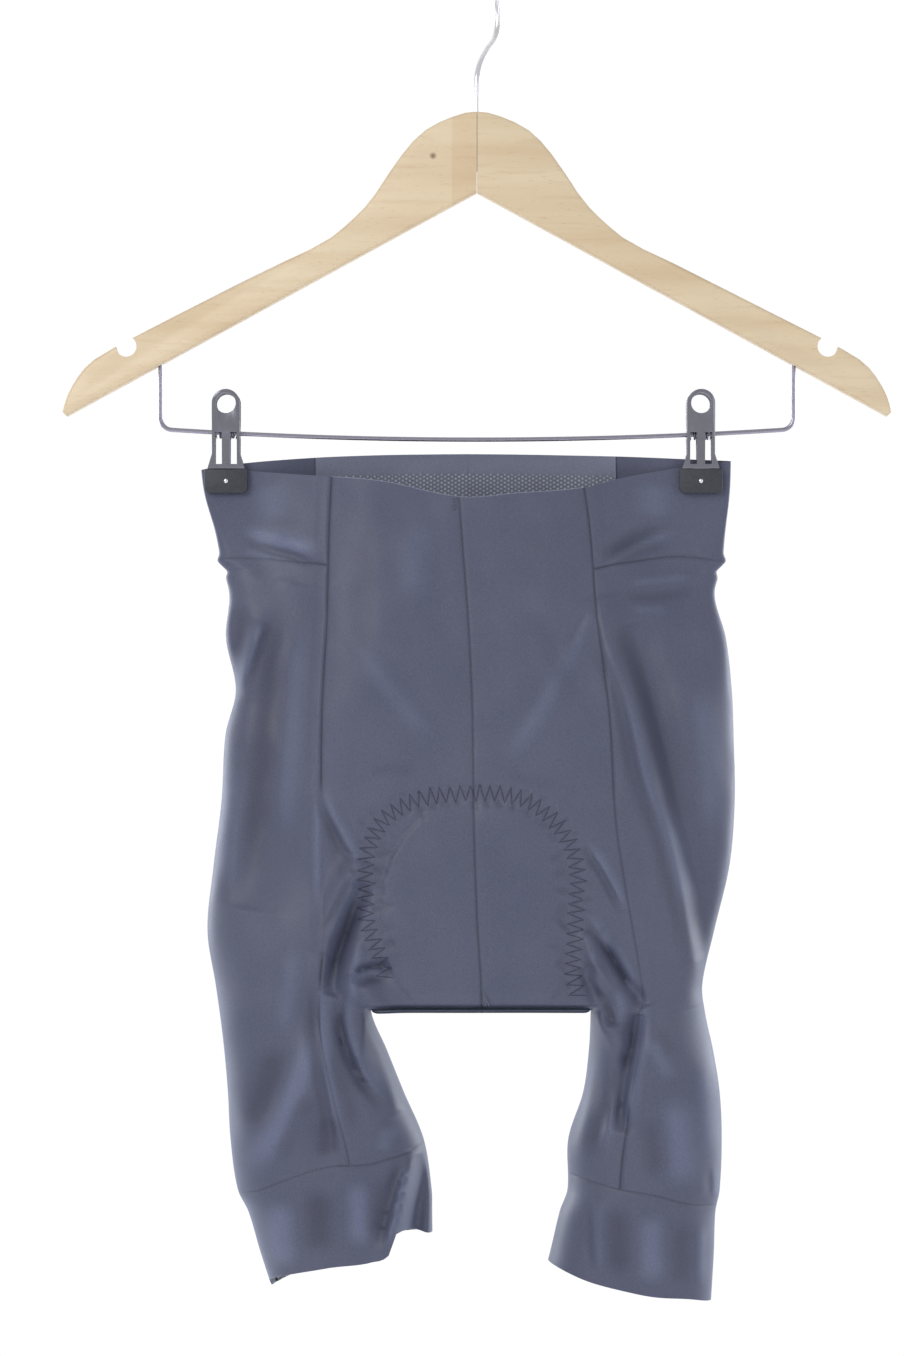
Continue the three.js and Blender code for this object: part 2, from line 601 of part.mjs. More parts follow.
function addWood() {
  const geometry = new THREE.ExtrudeGeometry(woodOutline(), {
    depth: WOOD_THICK - 2 * WOOD_ROUNDING,
    bevelThickness: WOOD_ROUNDING,
    bevelSize: WOOD_ROUNDING,
    bevelOffset: -WOOD_ROUNDING,
    bevelSegments: 2,
    curveSegments: 2,
  });
  geometry.rotateX(Math.PI / 2);
  geometry.translate(0, WOOD_THICK / 2 - WOOD_ROUNDING, 0);
  let wood = solidOf(geometry);
  wood = wood.subtract(rod(HOOK_WIRE + GAP, NECK_HOLE, 0, 0, WOOD_TOP[0].z + 1));
  for (const sense of [-1, 1]) {
    const notch = new THREE.CylinderGeometry(NOTCH_RADIUS, NOTCH_RADIUS, 2 * WOOD_THICK, 20);
    notch.translate(sense * NOTCH.x, 0, NOTCH.z);
    wood = wood.subtract(solidOf(notch));
    const underside = woodUnderside(BAR_HALF);
    const bar = rod(BAR_WIRE + GAP, BAR_HOLE + 2, sense * BAR_HALF, 0, underside + BAR_HOLE);
    wood = wood.subtract(bar);
  }
  for (const [name, sense] of [['left', -1], ['right', 1]]) {
    const half = new THREE.BoxGeometry(WOOD_ROOM, WOOD_ROOM, WOOD_ROOM);
    half.translate((sense * (WOOD_ROOM + GAP)) / 2, 0, WOOD_MIDDLE);
    addMesh(`hanger_wood_${name}`, geometryOf(wood.intersect(solidOf(half))), materials.beech);
  }
}

// A wire of round section along a path, with a count of sides for each half turn.
function wireAlong(path, radius, halfSides, steps) {
  const section = new THREE.Shape();
  section.absarc(0, 0, radius, 0, 2 * Math.PI);
  return new THREE.ExtrudeGeometry(section, {
    extrudePath: path,
    steps,
    curveSegments: halfSides,
  });
}

function addHook() {
  const middle = -HOOK_RADIUS + HOOK_WIRE;
  const onPlane = (u, z) => new THREE.Vector3(u * Math.cos(HOOK_TURN), u * Math.sin(HOOK_TURN), z);
  const onArc = (degrees) => {
    const turn = THREE.MathUtils.degToRad(degrees);
    return onPlane(HOOK_RADIUS * Math.cos(turn), middle + HOOK_RADIUS * Math.sin(turn));
  };
  const shankFoot = WOOD_TOP[0].z - NECK_HOLE + 2;
  const places = [onPlane(0, shankFoot), onPlane(0, -90), onPlane(0, -72), onPlane(0, -60)];
  places.push(onPlane(4, -51.5), onPlane(12, -43.6), onPlane(20.5, -37.4));
  for (let degrees = -16; degrees <= 160; degrees += 16) places.push(onArc(degrees));
  const path = new THREE.CatmullRomCurve3(places, false, 'centripetal');
  addMesh('hanger_hook', wireAlong(path, HOOK_WIRE, 5, 56), materials.wire);
}

function barHeight(x) {
  const reach = BAR_HALF - BAR_CORNER;
  return BAR_END_HEIGHT - BAR_SAG * (1 - (x / reach) ** 2);
}

function addBar() {
  const reach = BAR_HALF - BAR_CORNER;
  const top = woodUnderside(BAR_HALF) + BAR_HOLE - 1;
  const shoulder = BAR_END_HEIGHT + BAR_CORNER;
  const at = (x, z) => new THREE.Vector3(x, 0, z);
  const path = new THREE.CurvePath();
  path.add(new THREE.LineCurve3(at(-BAR_HALF, top), at(-BAR_HALF, shoulder)));
  path.add(new THREE.QuadraticBezierCurve3(
    at(-BAR_HALF, shoulder),
    at(-BAR_HALF, BAR_END_HEIGHT),
    at(-reach, BAR_END_HEIGHT),
  ));
  path.add(new THREE.QuadraticBezierCurve3(
    at(-reach, BAR_END_HEIGHT),
    at(0, BAR_END_HEIGHT - 2 * BAR_SAG),
    at(reach, BAR_END_HEIGHT),
  ));
  path.add(new THREE.QuadraticBezierCurve3(
    at(reach, BAR_END_HEIGHT),
    at(BAR_HALF, BAR_END_HEIGHT),
    at(BAR_HALF, shoulder),
  ));
  path.add(new THREE.LineCurve3(at(BAR_HALF, shoulder), at(BAR_HALF, top)));
  addMesh('hanger_bar', wireAlong(path, BAR_WIRE, 4, 90), materials.wire);
}

// ---- clips -----------------------------------------------------------------------------------------

const PAD_INNER = CLIPPED + GAP;
const PLATE_HALF = 7.5;           // half width of a plate
const PLATE_FOOT_HALF = 10;       // half width where it flares above the pad
const FLARE_TOP = -261.5;
const HANDLE_HOLE = 5.4;
const TONGUE_HALF = 5;
const TONGUE_END = -280;
const PLATE_LEAN = 0.1;           // how fast a plate leans away from the cloth as it rises
const SLOT = { x: 4, half: 1.8, top: -250, foot: -267 };
const EAR_RADIUS = 3.1;
const EAR_THICK = 1;
const EAR_TOP = 7;                // height of an ear's root above the bar
const EAR_ROOT = 6.5;             // depth of an ear's root, inside its plate
const EAR_X = { front: 6.9, back: 5.6 };
const SPRING_RADIUS = 3.2;
const SPRING_HALF = 4.6;          // half length of the spring's coil

function plateOutline() {
  const shape = new THREE.Shape();
  const crown = PLATE_TOP - PLATE_HALF;
  shape.moveTo(-TONGUE_HALF, TONGUE_END);
  shape.lineTo(TONGUE_HALF, TONGUE_END);
  shape.lineTo(TONGUE_HALF, PAD_TOP + GAP);
  shape.lineTo(PLATE_FOOT_HALF, PAD_TOP + GAP);
  shape.lineTo(PLATE_HALF, FLARE_TOP);
  shape.lineTo(PLATE_HALF, crown);
  shape.absarc(0, crown, PLATE_HALF, 0, Math.PI);
  shape.lineTo(-PLATE_HALF, FLARE_TOP);
  shape.lineTo(-PLATE_FOOT_HALF, PAD_TOP + GAP);
  shape.lineTo(-TONGUE_HALF, PAD_TOP + GAP);
  shape.closePath();
  const hole = new THREE.Path();
  hole.absarc(0, crown, HANDLE_HOLE, 0, 2 * Math.PI, true);
  shape.holes.push(hole);
  return shape;
}

function slotRoom(x) {
  const room = new THREE.BoxGeometry(2 * SLOT.half, 40, SLOT.top - SLOT.foot);
  room.translate(x, 0, (SLOT.top + SLOT.foot) / 2);
  return room;
}

// Lets a plate, drawn on the middle plane, lean away from the cloth to its place.
function lean(geometry) {
  const position = geometry.getAttribute('position');
  const padMiddle = PAD_TOP - PAD_HEIGHT / 2;
  const padDepth = PAD_INNER + PAD_DEPTH / 2;
  for (let index = 0; index < position.count; index += 1) {
    const away = padDepth + PLATE_LEAN * (position.getZ(index) - padMiddle);
    position.setY(index, position.getY(index) - away);
  }
  return geometry;
}

// An ear of a plate, which the bar goes through: drawn along Y and Z, thick along X.
function ear(x, height) {
  const shape = new THREE.Shape();
  shape.moveTo(-EAR_ROOT, height + EAR_TOP);
  shape.lineTo(-EAR_ROOT, height - EAR_RADIUS);
  shape.lineTo(0, height - EAR_RADIUS);
  shape.absarc(0, height, EAR_RADIUS, -Math.PI / 2, Math.PI / 2);
  shape.lineTo(-EAR_ROOT / 2, height + EAR_TOP);
  shape.closePath();
  const hole = new THREE.Path();
  hole.absarc(0, height, BAR_WIRE + GAP, 0, 2 * Math.PI, true);
  shape.holes.push(hole);
  const settings = { depth: EAR_THICK, bevelEnabled: false, curveSegments: 8 };
  const geometry = new THREE.ExtrudeGeometry(shape, settings);
  geometry.rotateX(Math.PI / 2);
  geometry.rotateZ(Math.PI / 2);
  geometry.translate(x - EAR_THICK / 2, 0, 0);
  return geometry;
}

function padOutline() {
  const [half, foot, corner] = [PAD_WIDTH / 2, PAD_TOP - PAD_HEIGHT, 3];
  const shape = new THREE.Shape();
  shape.moveTo(-half, PAD_TOP);
  shape.lineTo(-half, foot + corner);
  shape.absarc(-half + corner, foot + corner, corner, Math.PI, 1.5 * Math.PI);
  shape.lineTo(half - corner, foot);
  shape.absarc(half - corner, foot + corner, corner, 1.5 * Math.PI, 2 * Math.PI);
  shape.lineTo(half, PAD_TOP);
  shape.closePath();
  return shape;
}

function tongueRoom() {
  const room = new THREE.Shape();
  const half = TONGUE_HALF + GAP;
  room.moveTo(-half, TONGUE_END - GAP);
  room.lineTo(half, TONGUE_END - GAP);
  room.lineTo(half, PAD_TOP + 2);
  room.lineTo(-half, PAD_TOP + 2);
  room.closePath();
  return lean(uprightPlate(room, PLATE_THICK + 2 * GAP, 0, 4));
}

function addClip(side) {
  const x = CLIP_X[side];
  const height = barHeight(x);
  for (const [face, sense] of [['front', 1], ['back', -1]]) {
    const place = (solid) => {
      const geometry = geometryOf(solid);
      if (sense < 0) geometry.rotateZ(Math.PI);
      return geometry.translate(x, 0, 0);
    };
    let plate = solidOf(lean(uprightPlate(plateOutline(), PLATE_THICK, 0, 12)));
    for (const slotX of [-SLOT.x, SLOT.x]) plate = plate.subtract(solidOf(slotRoom(slotX)));
    for (const earX of [-EAR_X[face], EAR_X[face]]) {
      plate = plate.add(solidOf(ear(earX, barHeight(x + sense * earX))));
    }
    addMesh(`clip_${side}_${face}_plate`, place(plate), materials.plate);
    const padPlace = -(PAD_INNER + PAD_DEPTH / 2);
    const block = solidOf(uprightPlate(padOutline(), PAD_DEPTH, padPlace, 6));
    const pad = block.subtract(solidOf(tongueRoom()));
    addMesh(`clip_${side}_${face}_pad`, place(pad), materials.rubber);
  }
  const inside = BAR_WIRE + GAP;
  const ring = [
    new THREE.Vector2(inside, -SPRING_HALF),
    new THREE.Vector2(SPRING_RADIUS, -SPRING_HALF),
    new THREE.Vector2(SPRING_RADIUS, SPRING_HALF),
    new THREE.Vector2(inside, SPRING_HALF),
    new THREE.Vector2(inside, -SPRING_HALF),
  ];
  const spring = new THREE.LatheGeometry(ring, 16);
  spring.rotateZ(Math.PI / 2);
  spring.translate(x, 0, height);
  addMesh(`clip_${side}_spring`, spring, materials.wire);
}

addWood();
addHook();
addBar();
addClip('left');
addClip('right');

export default model;
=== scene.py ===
"""Athletic shorts of satin stretch knit, clipped to a wooden hanger with a wire trouser bar.

The tables are in millimetres, in the frame of the CAD part: +Z up, the wearer's front faces -Y, left is
-X, and the origin is the inner top of the hook. Meshes are made in millimetres and scaled to metres.

The shorts are one smooth surface, a wide ring that closes at the crotch and goes on as two leg tubes.
It is worked out on a fine grid whose lines follow the seams, and each sewn panel is a thin closed shell
cut out of it between its seams, with its folds, its seam grooves and the pull of its stitches.
"""

import math

import bmesh
import bpy
import numpy as np
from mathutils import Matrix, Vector


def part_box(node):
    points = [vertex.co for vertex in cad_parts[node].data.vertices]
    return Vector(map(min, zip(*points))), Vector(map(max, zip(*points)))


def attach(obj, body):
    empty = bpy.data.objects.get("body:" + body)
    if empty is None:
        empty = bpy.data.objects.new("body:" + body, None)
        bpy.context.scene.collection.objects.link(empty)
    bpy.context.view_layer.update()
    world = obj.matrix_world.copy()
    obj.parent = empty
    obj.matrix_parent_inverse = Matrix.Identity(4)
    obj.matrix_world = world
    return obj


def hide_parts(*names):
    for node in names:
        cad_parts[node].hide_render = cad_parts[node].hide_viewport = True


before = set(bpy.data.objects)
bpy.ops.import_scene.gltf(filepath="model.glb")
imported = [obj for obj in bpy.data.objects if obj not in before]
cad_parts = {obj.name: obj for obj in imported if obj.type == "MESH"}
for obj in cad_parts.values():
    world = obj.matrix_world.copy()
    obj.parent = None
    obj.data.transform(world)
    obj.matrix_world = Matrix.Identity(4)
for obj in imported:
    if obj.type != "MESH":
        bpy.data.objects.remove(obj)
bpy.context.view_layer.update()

MM = 0.001
SIDES = ("left", "right")
FACES = ("front", "back")
SENSE = {"left": -1, "right": 1}

# ---- driving dimensions, millimetres -----------------------------------------------------------

CLOTH = 1.0                # wall of the outer cloth, as it shows at a cut edge
LINING = 0.7               # wall of the facing, lining and gripper tape
LINING_GAP = 0.3           # between the outer cloth and what lies inside it
SEAM_SHIFT = 0.01          # each panel stops this far from its seam line
CROTCH = -558.8            # lowest line of the crotch
CROTCH_ROUNDING = 38       # height over which the crotch closes
CROTCH_TIGHT = {"front": 5, "back": 24}    # rounding of the cloth right at the crotch line
CROTCH_EASE = 26           # distance over which it gives way to the rounding of the leg
CLIPPED = 1.75             # half depth of the cloth between a clip's pads
CLIP_X = (-134.5, 120)     # middle of each clip
CLIP_FLAT = 14
CLIP_SPREAD = 70
CLIP_FOOT = -286
CLIP_FADE = 134
LEAST_FOLD = 2.5
FOLD_SHALLOW, FOLD_DEEP = 4, 24
CREASE_SHALLOW, CREASE_DEEP = 2, 9

HOOK_WIRE, HOOK_RADIUS, HOOK_TURN = 1.8, 26, math.radians(64)
BAR_WIRE, BAR_HALF, BAR_CORNER, BAR_END, BAR_SAG = 1.2, 169.9, 6.5, -248.5, 5.2

# height, then the outer and inner lines of the left leg and of the right leg
OUTLINE = (
    (-260, -149, -46, 38, 136.5), (-282, -146.5, -46.5, 38, 135.8), (-303, -140.6, -47, 39, 133.4),
    (-321, -137, -48, 40, 131.5), (-337, -133, -48.5, 41.5, 127.6), (-360, -134.8, -49.5, 43.5, 133.6),
    (-388, -129.5, -51, 46.5, 136.8), (-412, -135, -52, 49, 137.8), (-448, -137.2, -53.5, 53, 138.4),
    (-482, -141.4, -55, 57, 135.6), (-517, -144.7, -56, 60, 127.4), (-546, -140.3, -56.5, 61, 121),
    (-562, -138, -56.5, 61, 122.6), (-581, -135.7, -48.5, 60.1, 126.7), (-604, -133.7, -39.2, 57, 130.3),
    (-629, -132.3, -28.6, 49, 131.4), (-656, -128.4, -24.3, 48.6, 130.3), (-668, -122.6, -24, 44.4, 128),
    (-689, -116.4, -23.8, 39.4, 127.2), (-716, -107.6, -23.8, 32.4, 125.6),
)
OUTER = {"left": 1, "right": 4}
INNER = {"left": 2, "right": 3}

# height, width and swell of the bulge above the waistband seam at the sides, and of the notch below it
SIDE_BUMPS = ((-318.6, 2.3, 1.8), (-324.6, 2.2, -2.0))

# height, half depth in front and behind, rounding of the outer edge and of the inner edge
DEPTH = (
    (-260, 19, 15, 1.9, 38), (-286, 21, 18, 1.9, 38), (-315, 26, 25, 8, 38), (-335, 29, 31, 25, 38),
    (-370, 33, 38, 60, 38), (-420, 37, 45, 95, 38), (-480, 39, 46, 110, 38), (-540, 40, 42, 70, 38),
    (-600, 39, 39, 46, 42), (-660, 37, 37, 44, 42), (-716, 36, 36, 42, 40),
)

# height, then the left princess seam, the middle seam and the right princess seam
SEAMS = {
    "front": (
        (-260, -77, -11.5, 54), (-300, -79, -8.5, 60), (-350, -80, -4.8, 63.9), (-400, -82.5, -2.5, 70),
        (-460, -82.7, -1.8, 73.8), (-512, -81, 0, 82), (-545, -83, 2, 87.2), (-568, -83.2, 2.2, 87.5),
        (-606, -75.3, 2.2, 81.6), (-640, -67.6, 2.2, 76.5), (-716, -61, 2.2, 72),
    ),
    "back": (
        (-260, -72, -6, 60), (-300, -73, -5, 62), (-350, -76, -4, 66), (-400, -79, -3, 70),
        (-460, -81, -1, 75), (-512, -82, 0, 80), (-545, -82.5, 2, 83), (-568, -82, 2.2, 84),
        (-606, -76, 2.2, 82), (-640, -70, 2.2, 79), (-716, -66, 2.2, 77),
    ),
}
PRINCESS = {"left": 1, "right": 3}
MIDDLE = 2

# place across, then the heights of the top edge and of the waistband seam, in front and behind
WAIST = (
    (-149, -270, -270, -321, -321), (-134, -269.8, -267.4, -317.5, -319),
    (-104, -272, -264.4, -318.5, -316.5),
    (-77, -274.3, -262.4, -321.5, -315), (-50, -277, -261.3, -323, -314), (-9, -285.2, -260.8, -326, -313.5),
    (22, -283.2, -261, -326, -313.5), (56, -280.3, -261.7, -324.5, -314), (77, -274.8, -262.5, -320.5, -315),
    (108, -268.9, -264, -316.5, -317), (137, -265.2, -265.2, -320, -320),
)
TOP = {"front": 1, "back": 2}
BAND = {"front": 3, "back": 4}

# place across, then the heights of the cuff seam and of the hem, in front and behind
LEG_ENDS = {
    "left": (
        (-128, -657, -657, -710, -710), (-117, -654.6, -655, -707.7, -709),
        (-107, -650, -651.5, -701, -706.6),
        (-80, -640.9, -643, -694.4, -697), (-57, -639.3, -637, -691.4, -688),
        (-47, -636.8, -634.5, -687.6, -684),
        (-42, -635.8, -633, -676, -682), (-24, -628.6, -628.6, -678.5, -678.5),
    ),
    "right": (
        (38, -645, -645, -693.8, -693.8), (58, -648.5, -649, -701.4, -702),
        (74, -652.7, -653.5, -705.5, -708),
        (92, -655.4, -657.5, -709.4, -712.9), (113, -661.3, -661.5, -711.8, -714),
        (126, -663.4, -663.4, -715, -715),
    ),
}
CUFF = {"front": 1, "back": 2}
HEM = {"front": 3, "back": 4}

# how strongly each front seam shows: along its height, and for the waistband seam along its place across
PRINCESS_SHOWS = {
    "left": (
        (-645, 0.6), (-560, 0.45), (-548, 0.2), (-541, 0.9), (-531, 0.9), (-526, 0.12), (-446, 0.12),
        (-436, 1),
        (-260, 1),
    ),
    "right": (
        (-645, 0.95), (-616, 0.9), (-606, 0.4), (-560, 0.35), (-530, 0.5), (-470, 0.6), (-440, 0.85),
        (-260, 0.9),
    ),
}
BAND_SHOWS = ((-138, 0.4), (-96, 0.3), (-84, 0.9), (64, 1), (80, 0.8), (130, 0.45))
MIDDLE_SHOWS, CUFF_SHOWS, BACK_SHOWS = 0.8, 0.6, 0.6
SEAM_WIDTHS = (0.8, 4.2, 0.55)      # of the groove, of the dip round it and of its shade
SEAM_DEPTH, SEAM_DIP = 0.75, 0.32   # depths of the groove and of the dip
ALLOWANCE = 0.35                    # rise of the seam allowance beside a princess seam

# the large folds, as in the CAD part: from, to, bow, width and rise
FOLDS = {
    "front": (
        (66, -338, 121, -556, 2, 11, 6), (84, -352, 124, -530, 2, 9, -8), (-100, -330, -122, -505, 8, 15, -7),
        (-115, -352, -128, -392, 0, 7, 4), (-62, -478, -81, -528, -3, 7, 6),
        (-60, -490, -77, -550, -3, 5, -8),
        (-66, -538, -42, -614, 9, 7, 6), (-46, -534, -66, -541, 0, 4, -5), (58, -516, 80, -582, -3, 5, 5),
        (57, -534, 72, -566, -2, 4, -6), (66, -514, 90, -556, -2, 4, -5), (87, -560, 77, -622, -3, 5, -6),
        (-33, -634, -49, -692, 0, 7, 6), (-27, -636, -35, -690, 0, 6, -12),
    ),
    "back": (
        (-62, -330, -100, -470, 8, 14, -5), (58, -336, 98, -480, -8, 14, -6),
        (-126, -508, -58, -542, 10, 8, -7),
        (112, -500, 62, -540, -8, 8, -7), (-100, -560, -84, -650, -4, 9, -5), (98, -566, 88, -656, 4, 9, -5),
    ),
}

# the finer creases: width and rise, then the points that each one passes through
CREASES = {
    "front": (
        # right side: the long ridge from the waistband to the thigh, and the recess beside it
        (6, -2.0, ((73, -343), (80, -368), (92, -402), (101, -436), (109, -468))),
        (5, -1.5, ((112, -492), (118, -518), (125, -545))),
        (2.5, 0.8, ((78, -331), (98, -329), (118, -327))),
        (3, -0.9, ((74, -338), (96, -338), (120, -334))),
        (3, 0.6, ((80, -345), (104, -345))),
        (6, 0.9, ((118, -380), (124, -420), (126, -470))),
        # waistband, right and left
        (4, -1.0, ((66, -317), (82, -308), (100, -299))),
        (3, -1.2, ((70, -322), (88, -314), (106, -309))),
        (4, 1.5, ((-128, -301), (-112, -306), (-96, -309.5), (-82, -314))),
        (2.5, 0.8, ((-126, -313), (-108, -317))),
        (1.5, -0.5, ((-110, -329.6), (-95.6, -329.1))),
        (9, 0.8, ((-112, -275), (-108, -300))),
        (9, 0.8, ((96, -275), (94, -298))),
        # left side
        (5, -1.3, ((-126, -340), (-127, -362), (-128, -374))),
        (9, -1.7, ((-100, -334), (-108, -367), (-111, -404), (-115, -436), (-119, -474), (-122, -501))),
        (7, 1.0, ((-92, -340), (-98, -380), (-101, -430), (-105, -480))),
        (6, 0.8, ((-128, -420), (-131, -460), (-133, -500))),
        # the V that opens below the end of the left princess seam's dark stretch
        (3, 1.0, ((-84, -438), (-84.5, -470), (-84, -505))),
        (4, -0.9, ((-80, -452), (-74, -475), (-70, -492))),
        # left of the crotch
        (3.5, -2.1, ((-61.7, -496), (-66, -509), (-73, -527), (-78, -547))),
        (2.5, 1.3, ((-61.7, -521), (-65, -537), (-66.6, -554))),
        (2, -1.5, ((-64, -543.8), (-56, -541.3), (-48, -540.8))),
        (3.5, -1.7, ((-71, -552), (-71, -570), (-66, -587), (-56, -606))),
        (3.5, -1.1, ((-60, -556), (-58, -572), (-50, -590))),
        (4, -1.0, ((-76, -575), (-70, -600), (-63, -628))),
        # left leg
        (6.5, 2.2, ((-84, -562), (-91, -584), (-99, -604.5), (-112, -630), (-123, -650))),
        (8, -2.0, ((-104, -572), (-112, -600), (-121, -628))),
        (6, -1.9, ((-79, -612), (-79.5, -626), (-80, -638))),
        (4, 0.9, ((-88, -606), (-94, -622), (-98, -642))),
        (6, -1.3, ((-86, -598), (-94, -620), (-104, -642))),
        (5, 0.8, ((-96, -520), (-100, -550), (-104, -575))),
        (4, 0.9, ((-46, -618), (-50, -634))),
        # right of the crotch
        (2.4, -1.3, ((60, -527), (68, -537), (77, -553))),
        (2.4, -1.3, ((64, -520), (73, -531), (82, -548))),
        (2.6, -1.4, ((60, -543), (68, -553), (73, -568))),
        (3, -0.9, ((80, -572), (77, -600), (73.5, -625))),
        (4, 0.9, ((89.6, -569), (97, -583), (104.7, -597))),
        (4, -0.7, ((95, -566), (106, -582))),
        (5, -1.0, ((66, -590), (62, -618), (60, -640))),
        # right leg
        (8, 1.5, ((103, -600), (108, -630), (108, -656))),
        (6, -1.1, ((92, -610), (95, -650))),
        (5, 0.9, ((120, -585), (123, -640))),
        (4, 0.9, ((60, -575), (58, -605), (55, -632))),
        # cuffs
        (7, 1.7, ((-104, -656), (-104, -675), (-102, -698))),
        (8, -1.7, ((-84, -648), (-84, -690))),
        (6, 1.5, ((-63, -645), (-62, -686))),
        (4, -1.1, ((-51, -642), (-54, -684))),
        (7, -1.5, ((74, -658), (76, -702))),
        (7, 1.5, ((92, -662), (93, -706))),
        (6, -1.1, ((108, -666), (108, -708))),
        (3, 0.9, ((119, -670), (119, -708))),
        # the smooth middle panels: faint pulls
        (5, 0.8, ((14, -430), (38, -392), (58, -352))),
        (5, 0.6, ((-18, -420), (-48, -385), (-72, -350))),
        (6, -0.6, ((24, -340), (40, -365), (52, -400))),
        (8, 0.6, ((-30, -292), (-34, -345))),
        (7, -0.6, ((-58, -290), (-60, -330), (-62, -380))),
        (8, -0.5, ((30, -292), (32, -340))),
        (4, -0.6, ((-60, -432), (-28, -430))),
        (4, -0.5, ((12, -432), (46, -440))),
    ),
    "back": (
        (5, -1.7, ((-60, -540), (-30, -551), (-8, -555))),
        (5, -1.6, ((60, -537), (34, -549), (10, -554))),
        (7, 1.3, ((-95, -520), (-60, -500), (-25, -493))),
        (7, 1.2, ((92, -515), (60, -497), (28, -491))),
        (4, 1.1, ((-70, -528), (-40, -534), (-16, -536))),
        (4, 1.0, ((72, -525), (44, -531), (18, -534))),
        (8, 1.1, ((-92, -345), (-74, -395), (-66, -448))),
        (8, -1.1, ((-108, -350), (-96, -410), (-90, -462))),
        (8, 1.1, ((86, -348), (72, -398), (64, -452))),
        (8, -1.0, ((106, -352), (96, -408), (88, -460))),
        (3, 0.8, ((-110, -325), (-84, -327), (-60, -324))),
        (3, -0.9, ((-104, -332), (-72, -333))),
        (3, 0.8, ((108, -326), (80, -328), (52, -325))),
        (3, -0.8, ((100, -334), (66, -335))),
        (5, -1.3, ((-97, -575), (-90, -610), (-86, -640))),
        (4, 1.4, ((-68, -570), (-58, -598), (-48, -622))),
        (4, -1.2, ((-76, -566), (-68, -596), (-60, -624))),
        (5, -1.3, ((94, -572), (90, -612), (88, -644))),
        (4, 1.3, ((72, -570), (70, -602), (64, -634))),
        (4, -1.1, ((80, -566), (79, -600), (76, -630))),
        (6, 1.5, ((-112, -560), (-114, -600), (-112, -640))),
        (6, 1.4, ((112, -560), (114, -604), (112, -648))),
        (6, 1.3, ((-100, -660), (-98, -700))),
        (7, -1.4, ((-80, -650), (-80, -692))),
        (6, 1.2, ((-58, -645), (-58, -684))),
        (6, 1.2, ((64, -660), (65, -702))),
        (7, -1.3, ((84, -662), (84, -706))),
        (6, 1.2, ((104, -668), (104, -708))),
    ),
}

# folds that end in an edge, with a drop on the right of the way they run: width, rise, drop and points
EDGES = {
    "front": (
        (4, 1.6, 2.6, (
            (66, -340), (69, -362), (79, -386), (90.4, -436), (99.7, -460.5), (107, -488),
            (114.5, -520), (121, -552),
        )),
        (3, 1.7, 1.8, ((-127.5, -389), (-122, -372), (-116, -355), (-112, -346))),
        (2.4, 1.1, 1.6, ((-128, -303), (-113, -308.5), (-98, -312.5), (-83, -318.5))),
        (2.6, 1.4, 1.5, ((110, -302.5), (98, -305.5), (79, -315), (65, -324))),
        (2.6, 1.5, 1.5, ((-83, -439), (-76, -455), (-66, -473), (-59, -486))),
        (2.6, 1.6, 1.9, ((-63.5, -484), (-65, -492), (-71.5, -505), (-80, -523))),
        (2.0, 1.3, 1.7, ((-47, -537.6), (-52, -536.9), (-58, -537.8), (-65.5, -541))),
        (2.8, 1.9, 2.2, ((-66.5, -543), (-69, -561), (-66.6, -574.5), (-58.3, -592.5), (-44.8, -610.6))),
        (3.4, 1.5, 2.6, ((-82.4, -531), (-81.7, -562.5), (-79.4, -586.5), (-73.4, -618), (-68, -639))),
        (3.4, 2.4, 4.4, ((-31.5, -634), (-37.6, -647), (-43.5, -670), (-47.5, -688))),
        (2.4, 1.5, 1.7, ((57, -466), (70, -486), (81, -508))),
        (2.4, 1.5, 1.8, ((57, -503), (68, -520), (81, -540), (85, -552))),
        (2.4, 1.7, 1.9, ((55.5, -520), (64.5, -534.5), (75.5, -551), (78.4, -566))),
        (2.4, 1.4, 1.4, ((57, -537.5), (64.5, -542), (72, -553), (77.5, -571.5))),
        (2.6, 1.4, 1.6, ((88.6, -540), (87.7, -562), (82.5, -599), (77, -632))),
        (2.8, 1.2, 1.0, ((77.5, -577), (76.6, -597.5), (69.5, -621.5), (64.5, -640))),
        (2.6, 1.2, 1.2, ((64.5, -655), (64, -680), (65, -700))),
        (2.2, 0.9, 0.9, ((126, -642), (127, -652), (126.5, -660))),
        (2.2, 0.6, 0.6, ((62.7, -344.5), (57, -355), (50.4, -366))),
    ),
    "back": (
        (3.2, 1.3, 1.6, ((-122, -506), (-100, -522), (-76, -534), (-58, -540))),
        (3.2, 1.3, 1.6, ((64, -538), (84, -530), (104, -514), (114, -500))),
        (3, 1.3, 1.6, ((-58, -562), (-64, -590), (-60, -622), (-54, -634))),
        (3, 1.3, 1.6, ((66, -560), (72, -592), (70, -628), (64, -640))),
        (3, 1.0, 1.2, ((-76, -322), (-92, -352), (-104, -392))),
        (3, 1.0, 1.2, ((100, -400), (88, -356), (70, -324))),
    ),
}

# the arch of zigzag stitches that holds the pad inside the front, seen from the front
ARCH = (
    (-48.6, -541), (-52.6, -526), (-58.6, -510), (-58.6, -493), (-58.8, -475.6), (-50.5, -457.4),
    (-33, -446.4), (-10, -443), (14, -443.2), (28, -447.6), (44.6, -462.2), (53, -482), (52.3, -500),
    (51.5, -521), (50.2, -537), (53.5, -552),
)
ARCH_WIDTH = 9             # of the zigzag
ARCH_PITCH = 5.2           # from one of its teeth to the next
PAD_RISE = 1.8             # how far the pad pushes the cloth out
PAD_REACH = (54, 62)       # half width and half height of the pad inside the arch
PAD_SLOPE = 16             # from the stitches to the full height of the pad
LEAN = 0.3                 # how far a fold's edge leans over its drop, for each millimetre of its rise
STITCH_STEPS = 7           # points along each stitch
STITCH_WANDER = 0.25       # how unevenly the stitches are placed
STITCH_THREAD = 0.26       # half thickness of the thread

